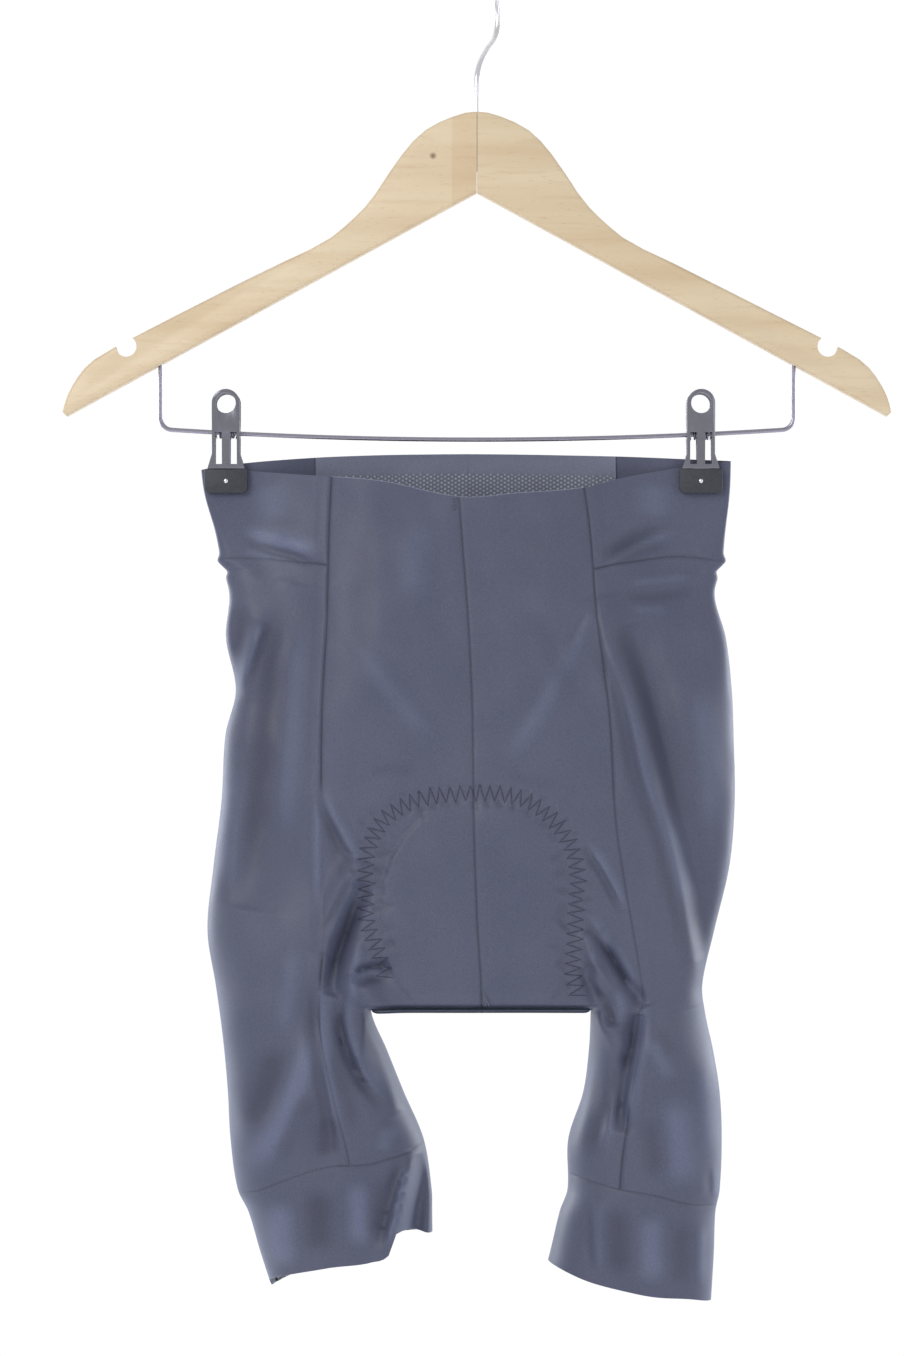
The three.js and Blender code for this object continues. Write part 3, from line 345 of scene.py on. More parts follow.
# flat width and length of each piece of cloth in metres, and its area in square metres
CUTS = {
    "front_left": (0.085, 0.375, 0.0277), "front_right": (0.085, 0.380, 0.0260),
    "side_left": (0.165, 0.345, 0.0472), "side_right": (0.165, 0.350, 0.0480),
    "back_left": (0.085, 0.330, 0.0249), "back_right": (0.085, 0.335, 0.0242),
    "waistband_left": (0.205, 0.057, 0.01045), "waistband_right": (0.205, 0.057, 0.0108),
    "cuff_left": (0.240, 0.056, 0.0131), "cuff_right": (0.235, 0.056, 0.0123),
    "waist_facing": (0.155, 0.011, 0.0016), "back_lining": (0.155, 0.048, 0.0072),
    "gripper_left": (0.110, 0.042, 0.0044), "gripper_right": (0.105, 0.042, 0.0042),
}


# ---- curves and shapes -------------------------------------------------------------------------

def curve(table, column, at):
    """Smooth curve through one column of a table, level past its ends."""
    rows = np.array(table, float)
    rows = rows[np.argsort(rows[:, 0])]
    place, value = rows[:, 0], rows[:, column]
    slope = np.gradient(value, place)
    slope[1:-1] = (value[2:] - value[:-2]) / (place[2:] - place[:-2])
    at = np.clip(at, place[0], place[-1])
    i = np.clip(np.searchsorted(place, at) - 1, 0, len(place) - 2)
    run = place[i + 1] - place[i]
    t = (at - place[i]) / run
    start = (1 + 2 * t) * (1 - t) ** 2 * value[i] + t * (1 - t) ** 2 * run * slope[i]
    return start + t * t * (3 - 2 * t) * value[i + 1] - t * t * (1 - t) * run * slope[i + 1]


def ramp(value, low, high):
    """0 up to low, 1 from high, and smooth between them."""
    t = np.clip((value - low) / (high - low), 0, 1)
    return t * t * (3 - 2 * t)


def round_off(share):
    """A quarter round, from 0 where it starts to 1."""
    t = np.clip(share, 0, 1)
    return np.sqrt(t * (2 - t))


def smooth_path(points, step):
    """Points about a step apart on a smooth curve through the given ones."""
    points = np.array(points, float)
    length = np.concatenate([[0], np.cumsum(np.linalg.norm(np.diff(points, axis=0), axis=1))])
    count = max(2, int(round(length[-1] / step)) + 1)
    at = np.linspace(0, length[-1], count)
    table = np.column_stack([length, points])
    return np.column_stack([curve(table, k + 1, at) for k in range(points.shape[1])])


def nearest_on(path, x, z):
    """Distance of each point to a path, where along it that is, and its side: 1 right of it, -1 left."""
    run = np.diff(path, axis=0)
    size = np.linalg.norm(run, axis=1)
    before = np.concatenate([[0], np.cumsum(size)])
    best = np.full(x.shape, np.inf)
    share = np.zeros(x.shape)
    side = np.ones(x.shape)
    for start, step, length, so_far in zip(path[:-1], run, size, before):
        t = np.clip(((x - start[0]) * step[0] + (z - start[1]) * step[1]) / length ** 2, 0, 1)
        away = np.hypot(x - start[0] - t * step[0], z - start[1] - t * step[1])
        closer = away < best
        best = np.where(closer, away, best)
        share = np.where(closer, (so_far + t * length) / before[-1], share)
        turn = (x - start[0]) * step[1] - (z - start[1]) * step[0]
        side = np.where(closer, np.where(turn > 0, 1, -1), side)
    return best, share, side


def fade_ends(share):
    return round_off(4 * share) * round_off(4 * (1 - share))


def run_out(share):
    """1 along the middle of a crease, and down to 0 without a step at both of its ends."""
    return ramp(share, 0, 0.3) * ramp(1 - share, 0, 0.3)


def spread(count, weight):
    """Shares from 0 to 1 in a number of steps, whose sizes follow a weight."""
    steps = weight((np.arange(count) + 0.5) / count)
    return np.concatenate([[0], np.cumsum(steps)]) / steps.sum()


# ---- the surface of the shorts -----------------------------------------------------------------

WAVE_SIZE = (16, 62)       # shortest and longest wave
WAVE_RISE = 0.0035         # rise of a wave for each millimetre of its length
WAVES = np.random.default_rng(11).uniform(size=(2, 14, 3))


def undulation(face, x, z):
    """The slight unevenness of hanging knit, from a few long waves in many directions."""
    total = np.zeros(x.shape)
    for turn, length, phase in WAVES[FACES.index(face)]:
        angle = math.pi * turn
        size = WAVE_SIZE[0] + (WAVE_SIZE[1] - WAVE_SIZE[0]) * length
        total += WAVE_RISE * size * np.sin(
            2 * math.pi * ((x * math.cos(angle) + z * math.sin(angle)) / size + phase)
        )
    return total


def large_folds(face, x, z):
    total = np.zeros(x.shape)
    for from_x, from_z, to_x, to_z, bow, width, rise in FOLDS[face]:
        run_x, run_z = to_x - from_x, to_z - from_z
        length = math.hypot(run_x, run_z)
        s = np.clip(((x - from_x) * run_x + (z - from_z) * run_z) / length ** 2, 0, 1)
        bend = 4 * bow * s * (1 - s)
        line_x = from_x + run_x * s - bend * run_z / length
        line_z = from_z + run_z * s + bend * run_x / length
        away = np.hypot(x - line_x, z - line_z)
        total += rise * fade_ends(s) * np.exp(-((away / width) ** 2))
    return total


def creases(face, x, z):
    """Height of the finer creases, and their painted shading: above 0 for a painted highlight on a ridge and
    below 0 for painted shade in a trough.
    """
    height = np.zeros(x.shape)
    painted_fold_shading = np.zeros(x.shape)
    strokes = list(CREASES[face]) + (PUCKERS if face == "front" else [])
    for width, rise, points in strokes:
        path = smooth_path(points, max(2.0, width))
        low, high = path.min(axis=0) - 3 * width, path.max(axis=0) + 3 * width
        near = (x > low[0]) & (x < high[0]) & (z > low[1]) & (z < high[1])
        away, share, _ = nearest_on(path, x[near], z[near])
        shape = run_out(share) * np.exp(-((away / width) ** 2))
        height[near] += rise * shape
        # painted highlight on a ridge, painted shade in a trough
        painted_fold_shading[near] += np.clip(rise / 1.6, -1.2, 1.2) * shape
    return height, painted_fold_shading


def stitch_puckers():
    """Short creases that the zigzag pulls into the cloth, longest on the inside beside the legs."""
    chance = np.random.default_rng(3)
    path = smooth_path(ARCH, ARCH_PITCH / 2)
    strokes = []
    for number, (x, z) in enumerate(path[1:-1]):
        towards = np.array([0, -500]) - (x, z)
        towards = towards / np.linalg.norm(towards) + chance.normal(0, 0.14, 2)
        beside_leg = float(ramp(np.array(abs(x)), 40, 52))
        reach = chance.uniform(3, 6) + beside_leg * chance.uniform(1, 9)
        start = np.array([x, z]) + towards * (0.35 * ARCH_WIDTH)
        if number % 3 == 0:
            towards, reach = -towards, 0.6 * reach
            start = np.array([x, z]) + towards * (0.4 * ARCH_WIDTH)
        strokes.append((1.5, -chance.uniform(0.35, 0.75), (tuple(start), tuple(start + towards * reach))))
    return strokes


PUCKERS = stitch_puckers()


def fold_edges(face, x, z):
    """Height, painted highlight and shade, and sideways lean of the folds that end in an edge."""
    height, painted_fold_shading = np.zeros(x.shape), np.zeros(x.shape)
    lean_x, lean_z = np.zeros(x.shape), np.zeros(x.shape)
    for width, rise, drop, points in EDGES[face]:
        path = smooth_path(points, 3)
        low, high = path.min(axis=0) - 5 * width, path.max(axis=0) + 5 * width
        near = (x > low[0]) & (x < high[0]) & (z > low[1]) & (z < high[1])
        away, share, right = nearest_on(path, x[near], z[near])
        beside = away * right
        crest = np.exp(-((beside / np.where(beside > 0, 0.85 * width, 1.4 * width)) ** 2))
        trough = np.exp(-(((beside - 1.5 * width) / (1.1 * width)) ** 2))
        fade = run_out(share) * np.exp(-((away / (3.5 * width)) ** 4))
        height[near] += (rise * crest - drop * trough) * fade
        # painted highlight on the crest and painted shade in the trough beside it
        painted_fold_shading[near] += (0.7 * min(rise / 1.5, 1.2) * crest - 0.55 * min(drop / 1.6, 1.4) * trough) * fade
        run = path[-1] - path[0]
        lean = LEAN * rise * crest * fade / np.linalg.norm(run)
        lean_x[near] += lean * run[1]
        lean_z[near] -= lean * run[0]
    return height, painted_fold_shading, lean_x, lean_z


def pad_relief(x, z):
    """The pad inside pushes the cloth out within the arch, and its stitches pull the cloth in."""
    path = smooth_path(ARCH, 3)
    away = nearest_on(path, x, z)[0]
    centre = (path[0] + path[-1]) / 2 + (0, 40)
    inside = np.hypot((x - centre[0]) / PAD_REACH[0], (z - centre[1]) / PAD_REACH[1]) < 1
    lift = PAD_RISE * ramp(away, 1, PAD_SLOPE) * inside
    return lift - 0.8 * np.exp(-((away / (0.5 * ARCH_WIDTH)) ** 2))


def shows(table, at):
    """How strongly a seam shows along its length."""
    rows = np.array(table, float)
    return np.interp(at, rows[:, 0], rows[:, 1])


def seam_relief(face, side, x, z):
    """The grooves of the seams that cross the face, the ridge of their allowances, and their shade."""
    band_z = curve(WAIST, BAND[face], x)
    cuff_z = curve(LEG_ENDS[side], CUFF[face], x)
    beyond = SENSE[side] * (x - curve(SEAMS[face], PRINCESS[side], z))
    away_from_band = np.abs(z - band_z)
    on_leg = z > cuff_z
    has_princess = on_leg & ((face == "front") | (z < band_z))
    has_band = (beyond > 0) | (face == "back")
    front = face == "front"
    seams = (
        (np.abs(beyond), has_princess, shows(PRINCESS_SHOWS[side], z) if front else BACK_SHOWS),
        (away_from_band, has_band, shows(BAND_SHOWS, x) if front else BACK_SHOWS),
        (np.abs(x - curve(SEAMS[face], MIDDLE, z)), z > CROTCH, MIDDLE_SHOWS if front else BACK_SHOWS),
        (np.abs(z - cuff_z), True, CUFF_SHOWS),
    )
    line_width, dip_width, shade_width = SEAM_WIDTHS
    pull = 1 + 0.5 * np.sin(z / 3.1 + 2 * np.sin(z / 17)) * np.sin(x / 4.3 + z / 11)
    groove, shade = np.zeros(x.shape), np.zeros(x.shape)
    for away, present, strength in seams:
        line = strength * np.exp(-((away / line_width) ** 2)) * present
        dip = (0.3 + 0.7 * strength) * np.exp(-((away / dip_width) ** 2)) * present
        groove = np.minimum(groove, -SEAM_DEPTH * line - SEAM_DIP * pull * dip)
        # painted shade along each seam line, darkening the cloth's colour over its groove
        shade = np.maximum(shade, strength * np.exp(-((away / shade_width) ** 2)) * present)
    allowance = ALLOWANCE * ramp(beyond, 1, 2) * (1 - ramp(beyond, 5.5, 7.5)) * has_princess
    return groove + allowance * ramp(away_from_band, 2, 8), shade


def clip_hold(x, z):
    """1 where a clip holds the cloth flat, 0 where it hangs free."""
    nearest = np.minimum(np.abs(x - CLIP_X[0]), np.abs(x - CLIP_X[1]))
    across = 1 - ramp(nearest, CLIP_FLAT, CLIP_FLAT + CLIP_SPREAD)
    across = np.where((x < CLIP_X[0]) | (x > CLIP_X[1]), 1, across)
    return across * (1 - ramp(CLIP_FOOT - z, 0, CLIP_FADE))


def outer_edge(side, z):
    """The side edge, with the small bulge above the waistband seam and the notch below it."""
    edge = curve(OUTLINE, OUTER[side], z)
    bumps = sum(out * np.exp(-(((z - height) / width) ** 2)) for height, width, out in SIDE_BUMPS)
    return edge + SENSE[side] * bumps


def inside_distance(side, x, z):
    """Distance from the inner leg line, or above it from the line of the crotch."""
    inner = curve(OUTLINE, INNER[side], np.minimum(z, CROTCH))
    away = SENSE[side] * (x - inner)
    return np.where(z > CROTCH, np.hypot(np.maximum(away, 0), z - CROTCH), np.abs(away))


def body_depth(face, side, x, z):
    """Distance of the cloth from the middle plane, before its folds."""
    opened = curve(DEPTH, 1 + FACES.index(face), z)
    outer = outer_edge(side, z)
    half = opened + (CLIPPED - opened) * clip_hold(x, z)
    edge_half = opened + (CLIPPED - opened) * clip_hold(outer, z)
    rounding = np.maximum(np.minimum(curve(DEPTH, 3, z), edge_half ** 2 / LEAST_FOLD), CLIPPED)
    inner = curve(OUTLINE, INNER[side], np.minimum(z, CROTCH))
    beside, below = SENSE[side] * (x - inner), CROTCH - z
    eased = np.maximum(ramp(beside, 0, CROTCH_EASE), ramp(below, 0, 1.6 * CROTCH_EASE))
    tight = CROTCH_TIGHT[face]
    inner_rounding = tight + (curve(DEPTH, 4, z) - tight) * eased
    shape = round_off(np.abs(x - outer) / rounding) * round_off(inside_distance(side, x, z) / inner_rounding)
    return half * shape


def cloth(face, side, x, z):
    """The finished cloth: its distance from the middle plane, its sideways lean, its painted fold highlight
    and shade, and its painted seam shade.
    """
    depth = body_depth(face, side, x, z)
    fine, painted_fold_shading = creases(face, x, z)
    edge, edge_painted_shading, lean_x, lean_z = fold_edges(face, x, z)
    # the second value is the painted shade along the seams
    seam, seam_painted_shade = seam_relief(face, side, x, z)
    fine = fine + edge + undulation(face, x, z)
    if face == "front":
        fine = fine + pad_relief(x, z) * ramp(z, CROTCH + 2, CROTCH + 12)
    height = depth + large_folds(face, x, z) * ramp(depth, FOLD_SHALLOW, FOLD_DEEP)
    deep = ramp(depth, CREASE_SHALLOW, CREASE_DEEP)
    height = height + fine * deep
    height = height + seam * ramp(depth, 0.2, 1.6)
    return height, lean_x * deep, lean_z * deep, painted_fold_shading + edge_painted_shading, seam_painted_shade


# ---- the grid ----------------------------------------------------------------------------------

SIDE_SHARES = spread(46, lambda t: np.sin(np.pi * t) + 0.18 * t + 0.02)
INNER_SHARES = spread(26, lambda t: 0.22 + 0.78 * ramp(t, 0, 0.4))
CENTRE_SHARES = spread(48, lambda t: 0.2 + 0.8 * ramp(1 - t, 0, 0.15))
BAND_ROWS = spread(26, lambda t: 0.22 + 0.78 * np.sin(np.pi * t))
SEAT_ROWS = spread(150, lambda t: 0.25 + 0.75 * ramp(t, 0, 0.05))
CROTCH_ROWS = np.sin(np.linspace(0, math.pi / 2, 37))
LEG_ROWS = spread(56, lambda t: (0.4 + 0.6 * ramp(t, 0, 0.2)) * (0.25 + 0.75 * ramp(1 - t, 0, 0.15)))
CUFF_ROWS = spread(30, lambda t: 0.22 + 0.78 * np.sin(np.pi * t))

PRINCESS_COLUMN = len(SIDE_SHARES) - 1
INNER_COLUMN = PRINCESS_COLUMN + len(INNER_SHARES) - 1
MIDDLE_COLUMN = INNER_COLUMN + len(CENTRE_SHARES) - 1
BAND_ROW = len(BAND_ROWS) - 1
SEAT_ROW = BAND_ROW + len(SEAT_ROWS) - 1
CROTCH_ROW = SEAT_ROW + len(CROTCH_ROWS) - 1
CUFF_ROW = CROTCH_ROW + len(LEG_ROWS) - 1
HEM_ROW = CUFF_ROW + len(CUFF_ROWS) - 1


def columns_at(face, side, z):
    """Place across of every grid point, from the outer edge to the middle seam."""
    outer = outer_edge(side, z)
    princess = curve(SEAMS[face], PRINCESS[side], z)
    inner = curve(OUTLINE, INNER[side], z)
    middle = curve(SEAMS[face], MIDDLE, z)
    leg_like = 1 - ramp(z, CROTCH, CROTCH + CROTCH_ROUNDING)
    x = np.empty(z.shape)
    part = slice(0, PRINCESS_COLUMN + 1)
    x[:, part] = outer[:, part] + (princess - outer)[:, part] * SIDE_SHARES
    part = slice(PRINCESS_COLUMN, INNER_COLUMN + 1)
    share = INNER_SHARES + leg_like[:, part] * (np.sin(INNER_SHARES * math.pi / 2) - INNER_SHARES)
    x[:, part] = princess[:, part] + (inner - princess)[:, part] * share
    part = slice(INNER_COLUMN, MIDDLE_COLUMN + 1)
    x[:, part] = inner[:, part] + (middle - inner)[:, part] * CENTRE_SHARES
    return x


def rows_at(face, side, x):
    """Height of every grid point, from the top edge to the hem."""
    top = curve(WAIST, TOP[face], x)
    band = curve(WAIST, BAND[face], x)
    cuff = curve(LEG_ENDS[side], CUFF[face], x)
    hem = curve(LEG_ENDS[side], HEM[face], x)
    seat_end = np.full(x.shape, CROTCH + CROTCH_ROUNDING)
    crotch = np.full(x.shape, CROTCH)
    z = np.empty(x.shape)
    zones = (
        (0, BAND_ROWS, top, band), (BAND_ROW, SEAT_ROWS, band, seat_end),
        (SEAT_ROW, CROTCH_ROWS, seat_end, crotch), (CROTCH_ROW, LEG_ROWS, crotch, cuff),
        (CUFF_ROW, CUFF_ROWS, cuff, hem),
    )
    for first, shares, start, end in zones:
        rows = slice(first, first + len(shares))
        z[rows] = start[rows] + (end - start)[rows] * shares[:, None]
    return z


def grid_of(face, side):
    x = np.tile(np.linspace(SENSE[side] * 130, 0, MIDDLE_COLUMN + 1), (HEM_ROW + 1, 1))
    for _ in range(12):
        z = rows_at(face, side, x)
        x = columns_at(face, side, z)
    return x, z


def build_surface():
    """Every point of the welded surface, its outward normal, its painted fold highlight and shade, its
    painted seam shade and the ids of each grid.
    """
    grids = {(side, face): grid_of(face, side) for side in SIDES for face in FACES}
    for side in SIDES:
        (front_x, front_z), (back_x, back_z) = grids[side, "front"], grids[side, "back"]
        leg = slice(CROTCH_ROW, None)
        for rows, column, edge in ((slice(None), 0, outer_edge), (leg, INNER_COLUMN, None)):
            height = (front_z[rows, column] + back_z[rows, column]) / 2
            place = edge(side, height) if edge else curve(OUTLINE, INNER[side], height)
            for x, z in ((front_x, front_z), (back_x, back_z)):
                x[rows, column], z[rows, column] = place, height
    size = (HEM_ROW + 1) * (MIDDLE_COLUMN + 1)
    ids, points, painted_fold_shadings, seams = {}, [], [], []
    for number, (side, face) in enumerate(grids):
        x, z = grids[side, face]
        ids[side, face] = np.arange(number * size, (number + 1) * size).reshape(x.shape)
        # the fourth value is the painted fold highlight and shade, the fifth the painted seam shade
        height, lean_x, lean_z, painted_fold_shading, seam = cloth(face, side, x, z)
        y = height * (-1 if face == "front" else 1)
        points.append(np.stack([x + lean_x, y, z + lean_z], axis=-1).reshape(-1, 3))
        painted_fold_shadings.append(painted_fold_shading.reshape(-1))
        seams.append(seam.reshape(-1))
    for face in FACES:
        ids["right", face][:, MIDDLE_COLUMN] = ids["left", face][:, MIDDLE_COLUMN]
    for side in SIDES:
        front, back = ids[side, "front"], ids[side, "back"]
        back[:, 0] = front[:, 0]
        back[CROTCH_ROW:, INNER_COLUMN] = front[CROTCH_ROW:, INNER_COLUMN]
        back[CROTCH_ROW, INNER_COLUMN:] = front[CROTCH_ROW, INNER_COLUMN:]
    return ids, np.concatenate(points), np.concatenate(painted_fold_shadings), np.concatenate(seams)


def cells(ids, side, face, rows, columns):
    """Quads of a block of the grid, facing out."""
    block = ids[side, face][rows[0]:rows[1] + 1, columns[0]:columns[1] + 1]
    corners = [block[:-1, :-1], block[1:, :-1], block[1:, 1:], block[:-1, 1:]]
    quads = np.stack(corners, axis=-1).reshape(-1, 4)
    return quads if (side == "left") == (face == "front") else quads[:, ::-1]


def panel_cells(ids):
    """The quads of every panel and of what lies inside them, by the names of the CAD nodes."""
    found = {}
    facing_row = int(np.searchsorted(BAND_ROWS, 0.18))
    gripper_row = CUFF_ROW + int(np.searchsorted(CUFF_ROWS, 0.25))
    facing_column = int(np.searchsorted(SIDE_SHARES, 0.78))
    gripper_column = int(np.searchsorted(SIDE_SHARES, 0.03))
    lining, facing = [], []
    for side in SIDES:
        outer, centre = (0, PRINCESS_COLUMN), (PRINCESS_COLUMN, MIDDLE_COLUMN)
        inner, leg = (PRINCESS_COLUMN, INNER_COLUMN), (0, INNER_COLUMN)
        found[f"front_{side}"] = [
            cells(ids, side, "front", (0, CROTCH_ROW), centre),
            cells(ids, side, "front", (CROTCH_ROW, CUFF_ROW), inner),
        ]
        found[f"side_{side}"] = [cells(ids, side, face, (BAND_ROW, CUFF_ROW), outer) for face in FACES]
        found[f"back_{side}"] = [
            cells(ids, side, "back", (BAND_ROW, CROTCH_ROW), centre),
            cells(ids, side, "back", (CROTCH_ROW, CUFF_ROW), inner),
        ]
        found[f"waistband_{side}"] = [
            cells(ids, side, "front", (0, BAND_ROW), outer),
            cells(ids, side, "back", (0, BAND_ROW), (0, MIDDLE_COLUMN)),
        ]
        found[f"cuff_{side}"] = [cells(ids, side, face, (CUFF_ROW, HEM_ROW), leg) for face in FACES]
        inside = (facing_column, MIDDLE_COLUMN)
        facing.append(cells(ids, side, "back", (0, facing_row), inside))
        lining.append(cells(ids, side, "back", (facing_row, BAND_ROW), inside))
        found[f"gripper_{side}"] = [
            cells(ids, side, "back", (gripper_row, HEM_ROW), (gripper_column, INNER_COLUMN - 1))
        ]
    found["waist_facing"] = facing
    found["back_lining"] = lining
    return {name: np.concatenate(parts) for name, parts in found.items()}


def normals_of(points, quads):
    """Outward normal at every point, from the quads round it."""
    across = points[quads[:, 2]] - points[quads[:, 0]]
    down = points[quads[:, 3]] - points[quads[:, 1]]
    face_normals = np.cross(across, down)
    total = np.zeros(points.shape)
    for corner in range(4):
        np.add.at(total, quads[:, corner], face_normals)
    size = np.linalg.norm(total, axis=1, keepdims=True)
    return total / np.maximum(size, 1e-9)


# ---- meshes ------------------------------------------------------------------------------------

def add_mesh(name, points, faces, smooth=True, sharp=math.radians(55)):
    """A new object from points in millimetres."""
    mesh = bpy.data.meshes.new(name)
    mesh.from_pydata((np.asarray(points) * MM).tolist(), [], [list(face) for face in faces])
    mesh.polygons.foreach_set("use_smooth", [smooth] * len(mesh.polygons))
    if smooth:
        mesh.set_sharp_from_angle(angle=sharp)
    made = bpy.data.objects.new(name, mesh)
    bpy.context.scene.collection.objects.link(made)
    return made


def dress(piece, finish, slot_name, *nodes):
    """Gives a piece its material and its body, and hides the CAD nodes that it stands for. Its slot name is
    not used.
    """
    piece.data.materials.clear()
    piece.data.materials.append(finish)
    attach(piece, "root")
    if nodes:
        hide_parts(*nodes)
    return piece


def open_edges(quads):
    """The edges that only one quad has, in that quad's own direction."""
    start = quads.reshape(-1)
    end = np.roll(quads, -1, axis=1).reshape(-1)
    size = int(quads.max()) + 1
    alone = ~np.isin(start * size + end, end * size + start)
    return np.column_stack([start[alone], end[alone]])


def shell(name, quads, surface, inward=0.0, thick=CLOTH):
    """A closed thin wall on the quads of the surface, stopping just short of its seams."""
    points, normals, painted_fold_shadings, seams = surface
    used, local = np.unique(quads, return_inverse=True)
    local = local.reshape(quads.shape)
    count = len(used)
    outside = points[used] - normals[used] * inward
    edges = open_edges(local)
    rim = np.unique(edges)
    towards = np.zeros((count, 3))
    centres = outside[local].mean(axis=1)
    for corner in range(4):
        np.add.at(towards, local[:, corner], centres - outside[local[:, corner]])
    towards -= normals[used] * np.sum(towards * normals[used], axis=1, keepdims=True)
    towards /= np.maximum(np.linalg.norm(towards, axis=1, keepdims=True), 1e-9)
    outside[rim] += SEAM_SHIFT * towards[rim]
    inside = outside - normals[used] * thick
    walls = np.column_stack([edges[:, 1], edges[:, 0], edges[:, 0] + count, edges[:, 1] + count])
    faces = np.concatenate([local, local[:, ::-1] + count, walls])
    made = add_mesh(name, np.concatenate([outside, inside]), faces.tolist())
    # the painted fold highlight and shade and the painted seam shade go to the knit shader as point
    # attributes
    for label, values in (("painted_fold_shading", painted_fold_shadings[used]), ("seam", seams[used])):
        layer = made.data.attributes.new(label, "FLOAT", "POINT")
        layer.data.foreach_set("value", np.concatenate([values, values]).astype(np.float32))
    return made


def tube(path, radius, sides=8, taper=False):
    """Points and faces of a round tube along a path, with closed ends."""
    path = np.asarray(path, float)
    ahead = np.roll(path, -1, axis=0) - np.roll(path, 1, axis=0)
    ahead[0], ahead[-1] = path[1] - path[0], path[-1] - path[-2]
    ahead /= np.maximum(np.linalg.norm(ahead, axis=1, keepdims=True), 1e-9)
    across = np.cross(ahead[0], (0, 0, 1) if abs(ahead[0][2]) < 0.8 else (1, 0, 0))
    turn = np.linspace(0, 2 * math.pi, sides, endpoint=False)[:, None]
    size = np.full(len(path), float(radius))
    if taper:
        size[0] = size[-1] = 0.45 * radius
    rings = []
    for point, forward, width in zip(path, ahead, size):
        across = across - forward * np.dot(across, forward)
        across = across / np.linalg.norm(across)
        beside = np.cross(forward, across)
        rings.append(point + width * (np.cos(turn) * across + np.sin(turn) * beside))
    faces = ring_faces(len(path), sides)
    return np.concatenate(rings), faces


def ring_faces(rings, sides):
    """Quads between rings of points that follow each other, and a cap at both ends."""
    faces = []
    for here in range(0, (rings - 1) * sides, sides):
        for k in range(sides):
            k2 = (k + 1) % sides
            faces.append([here + k, here + k2, here + sides + k2, here + sides + k])
    faces.append(list(range(sides))[::-1])
    faces.append([(rings - 1) * sides + k for k in range(sides)])
    return faces


def add_tubes(name, tubes):
    """One object from several tubes."""
    points, faces, so_far = [], [], 0
    for tube_points, tube_faces in tubes:
        points.append(tube_points)
        faces += [[so_far + k for k in face] for face in tube_faces]
        so_far += len(tube_points)
    return add_mesh(name, np.concatenate(points), faces)


def refined(node, width):
    """A copy of a hard CAD node with its sharp edges eased."""
    source = bpy.data.objects[node]
    work = bmesh.new()
    work.from_mesh(source.data)
    bmesh.ops.remove_doubles(work, verts=work.verts, dist=1e-6)
    bmesh.ops.dissolve_limit(work, angle_limit=math.radians(1), verts=work.verts, edges=work.edges)
    if width:
        sharp = [e for e in work.edges if len(e.link_faces) == 2 and e.calc_face_angle() > math.radians(35)]
        bmesh.ops.bevel(
            work, geom=sharp, offset=width * MM, offset_type="OFFSET", segments=2,
            affect="EDGES", profile=0.5, clamp_overlap=True,
        )
    mesh = bpy.data.meshes.new(node + "_fine")
    work.to_mesh(mesh)
    work.free()
    mesh.polygons.foreach_set("use_smooth", [True] * len(mesh.polygons))
    mesh.set_sharp_from_angle(angle=math.radians(40))
    made = bpy.data.objects.new(node + "_fine", mesh)
    bpy.context.scene.collection.objects.link(made)
    return made


# ---- materials ---------------------------------------------------------------------------------

def linear(red, green, blue):
    """A colour given as shown on a screen, from 0 to 255, in linear light."""
    shown = [channel / 255 for channel in (red, green, blue)]
    return tuple(c / 12.92 if c <= 0.04045 else ((c + 0.055) / 1.055) ** 2.4 for c in shown) + (1,)


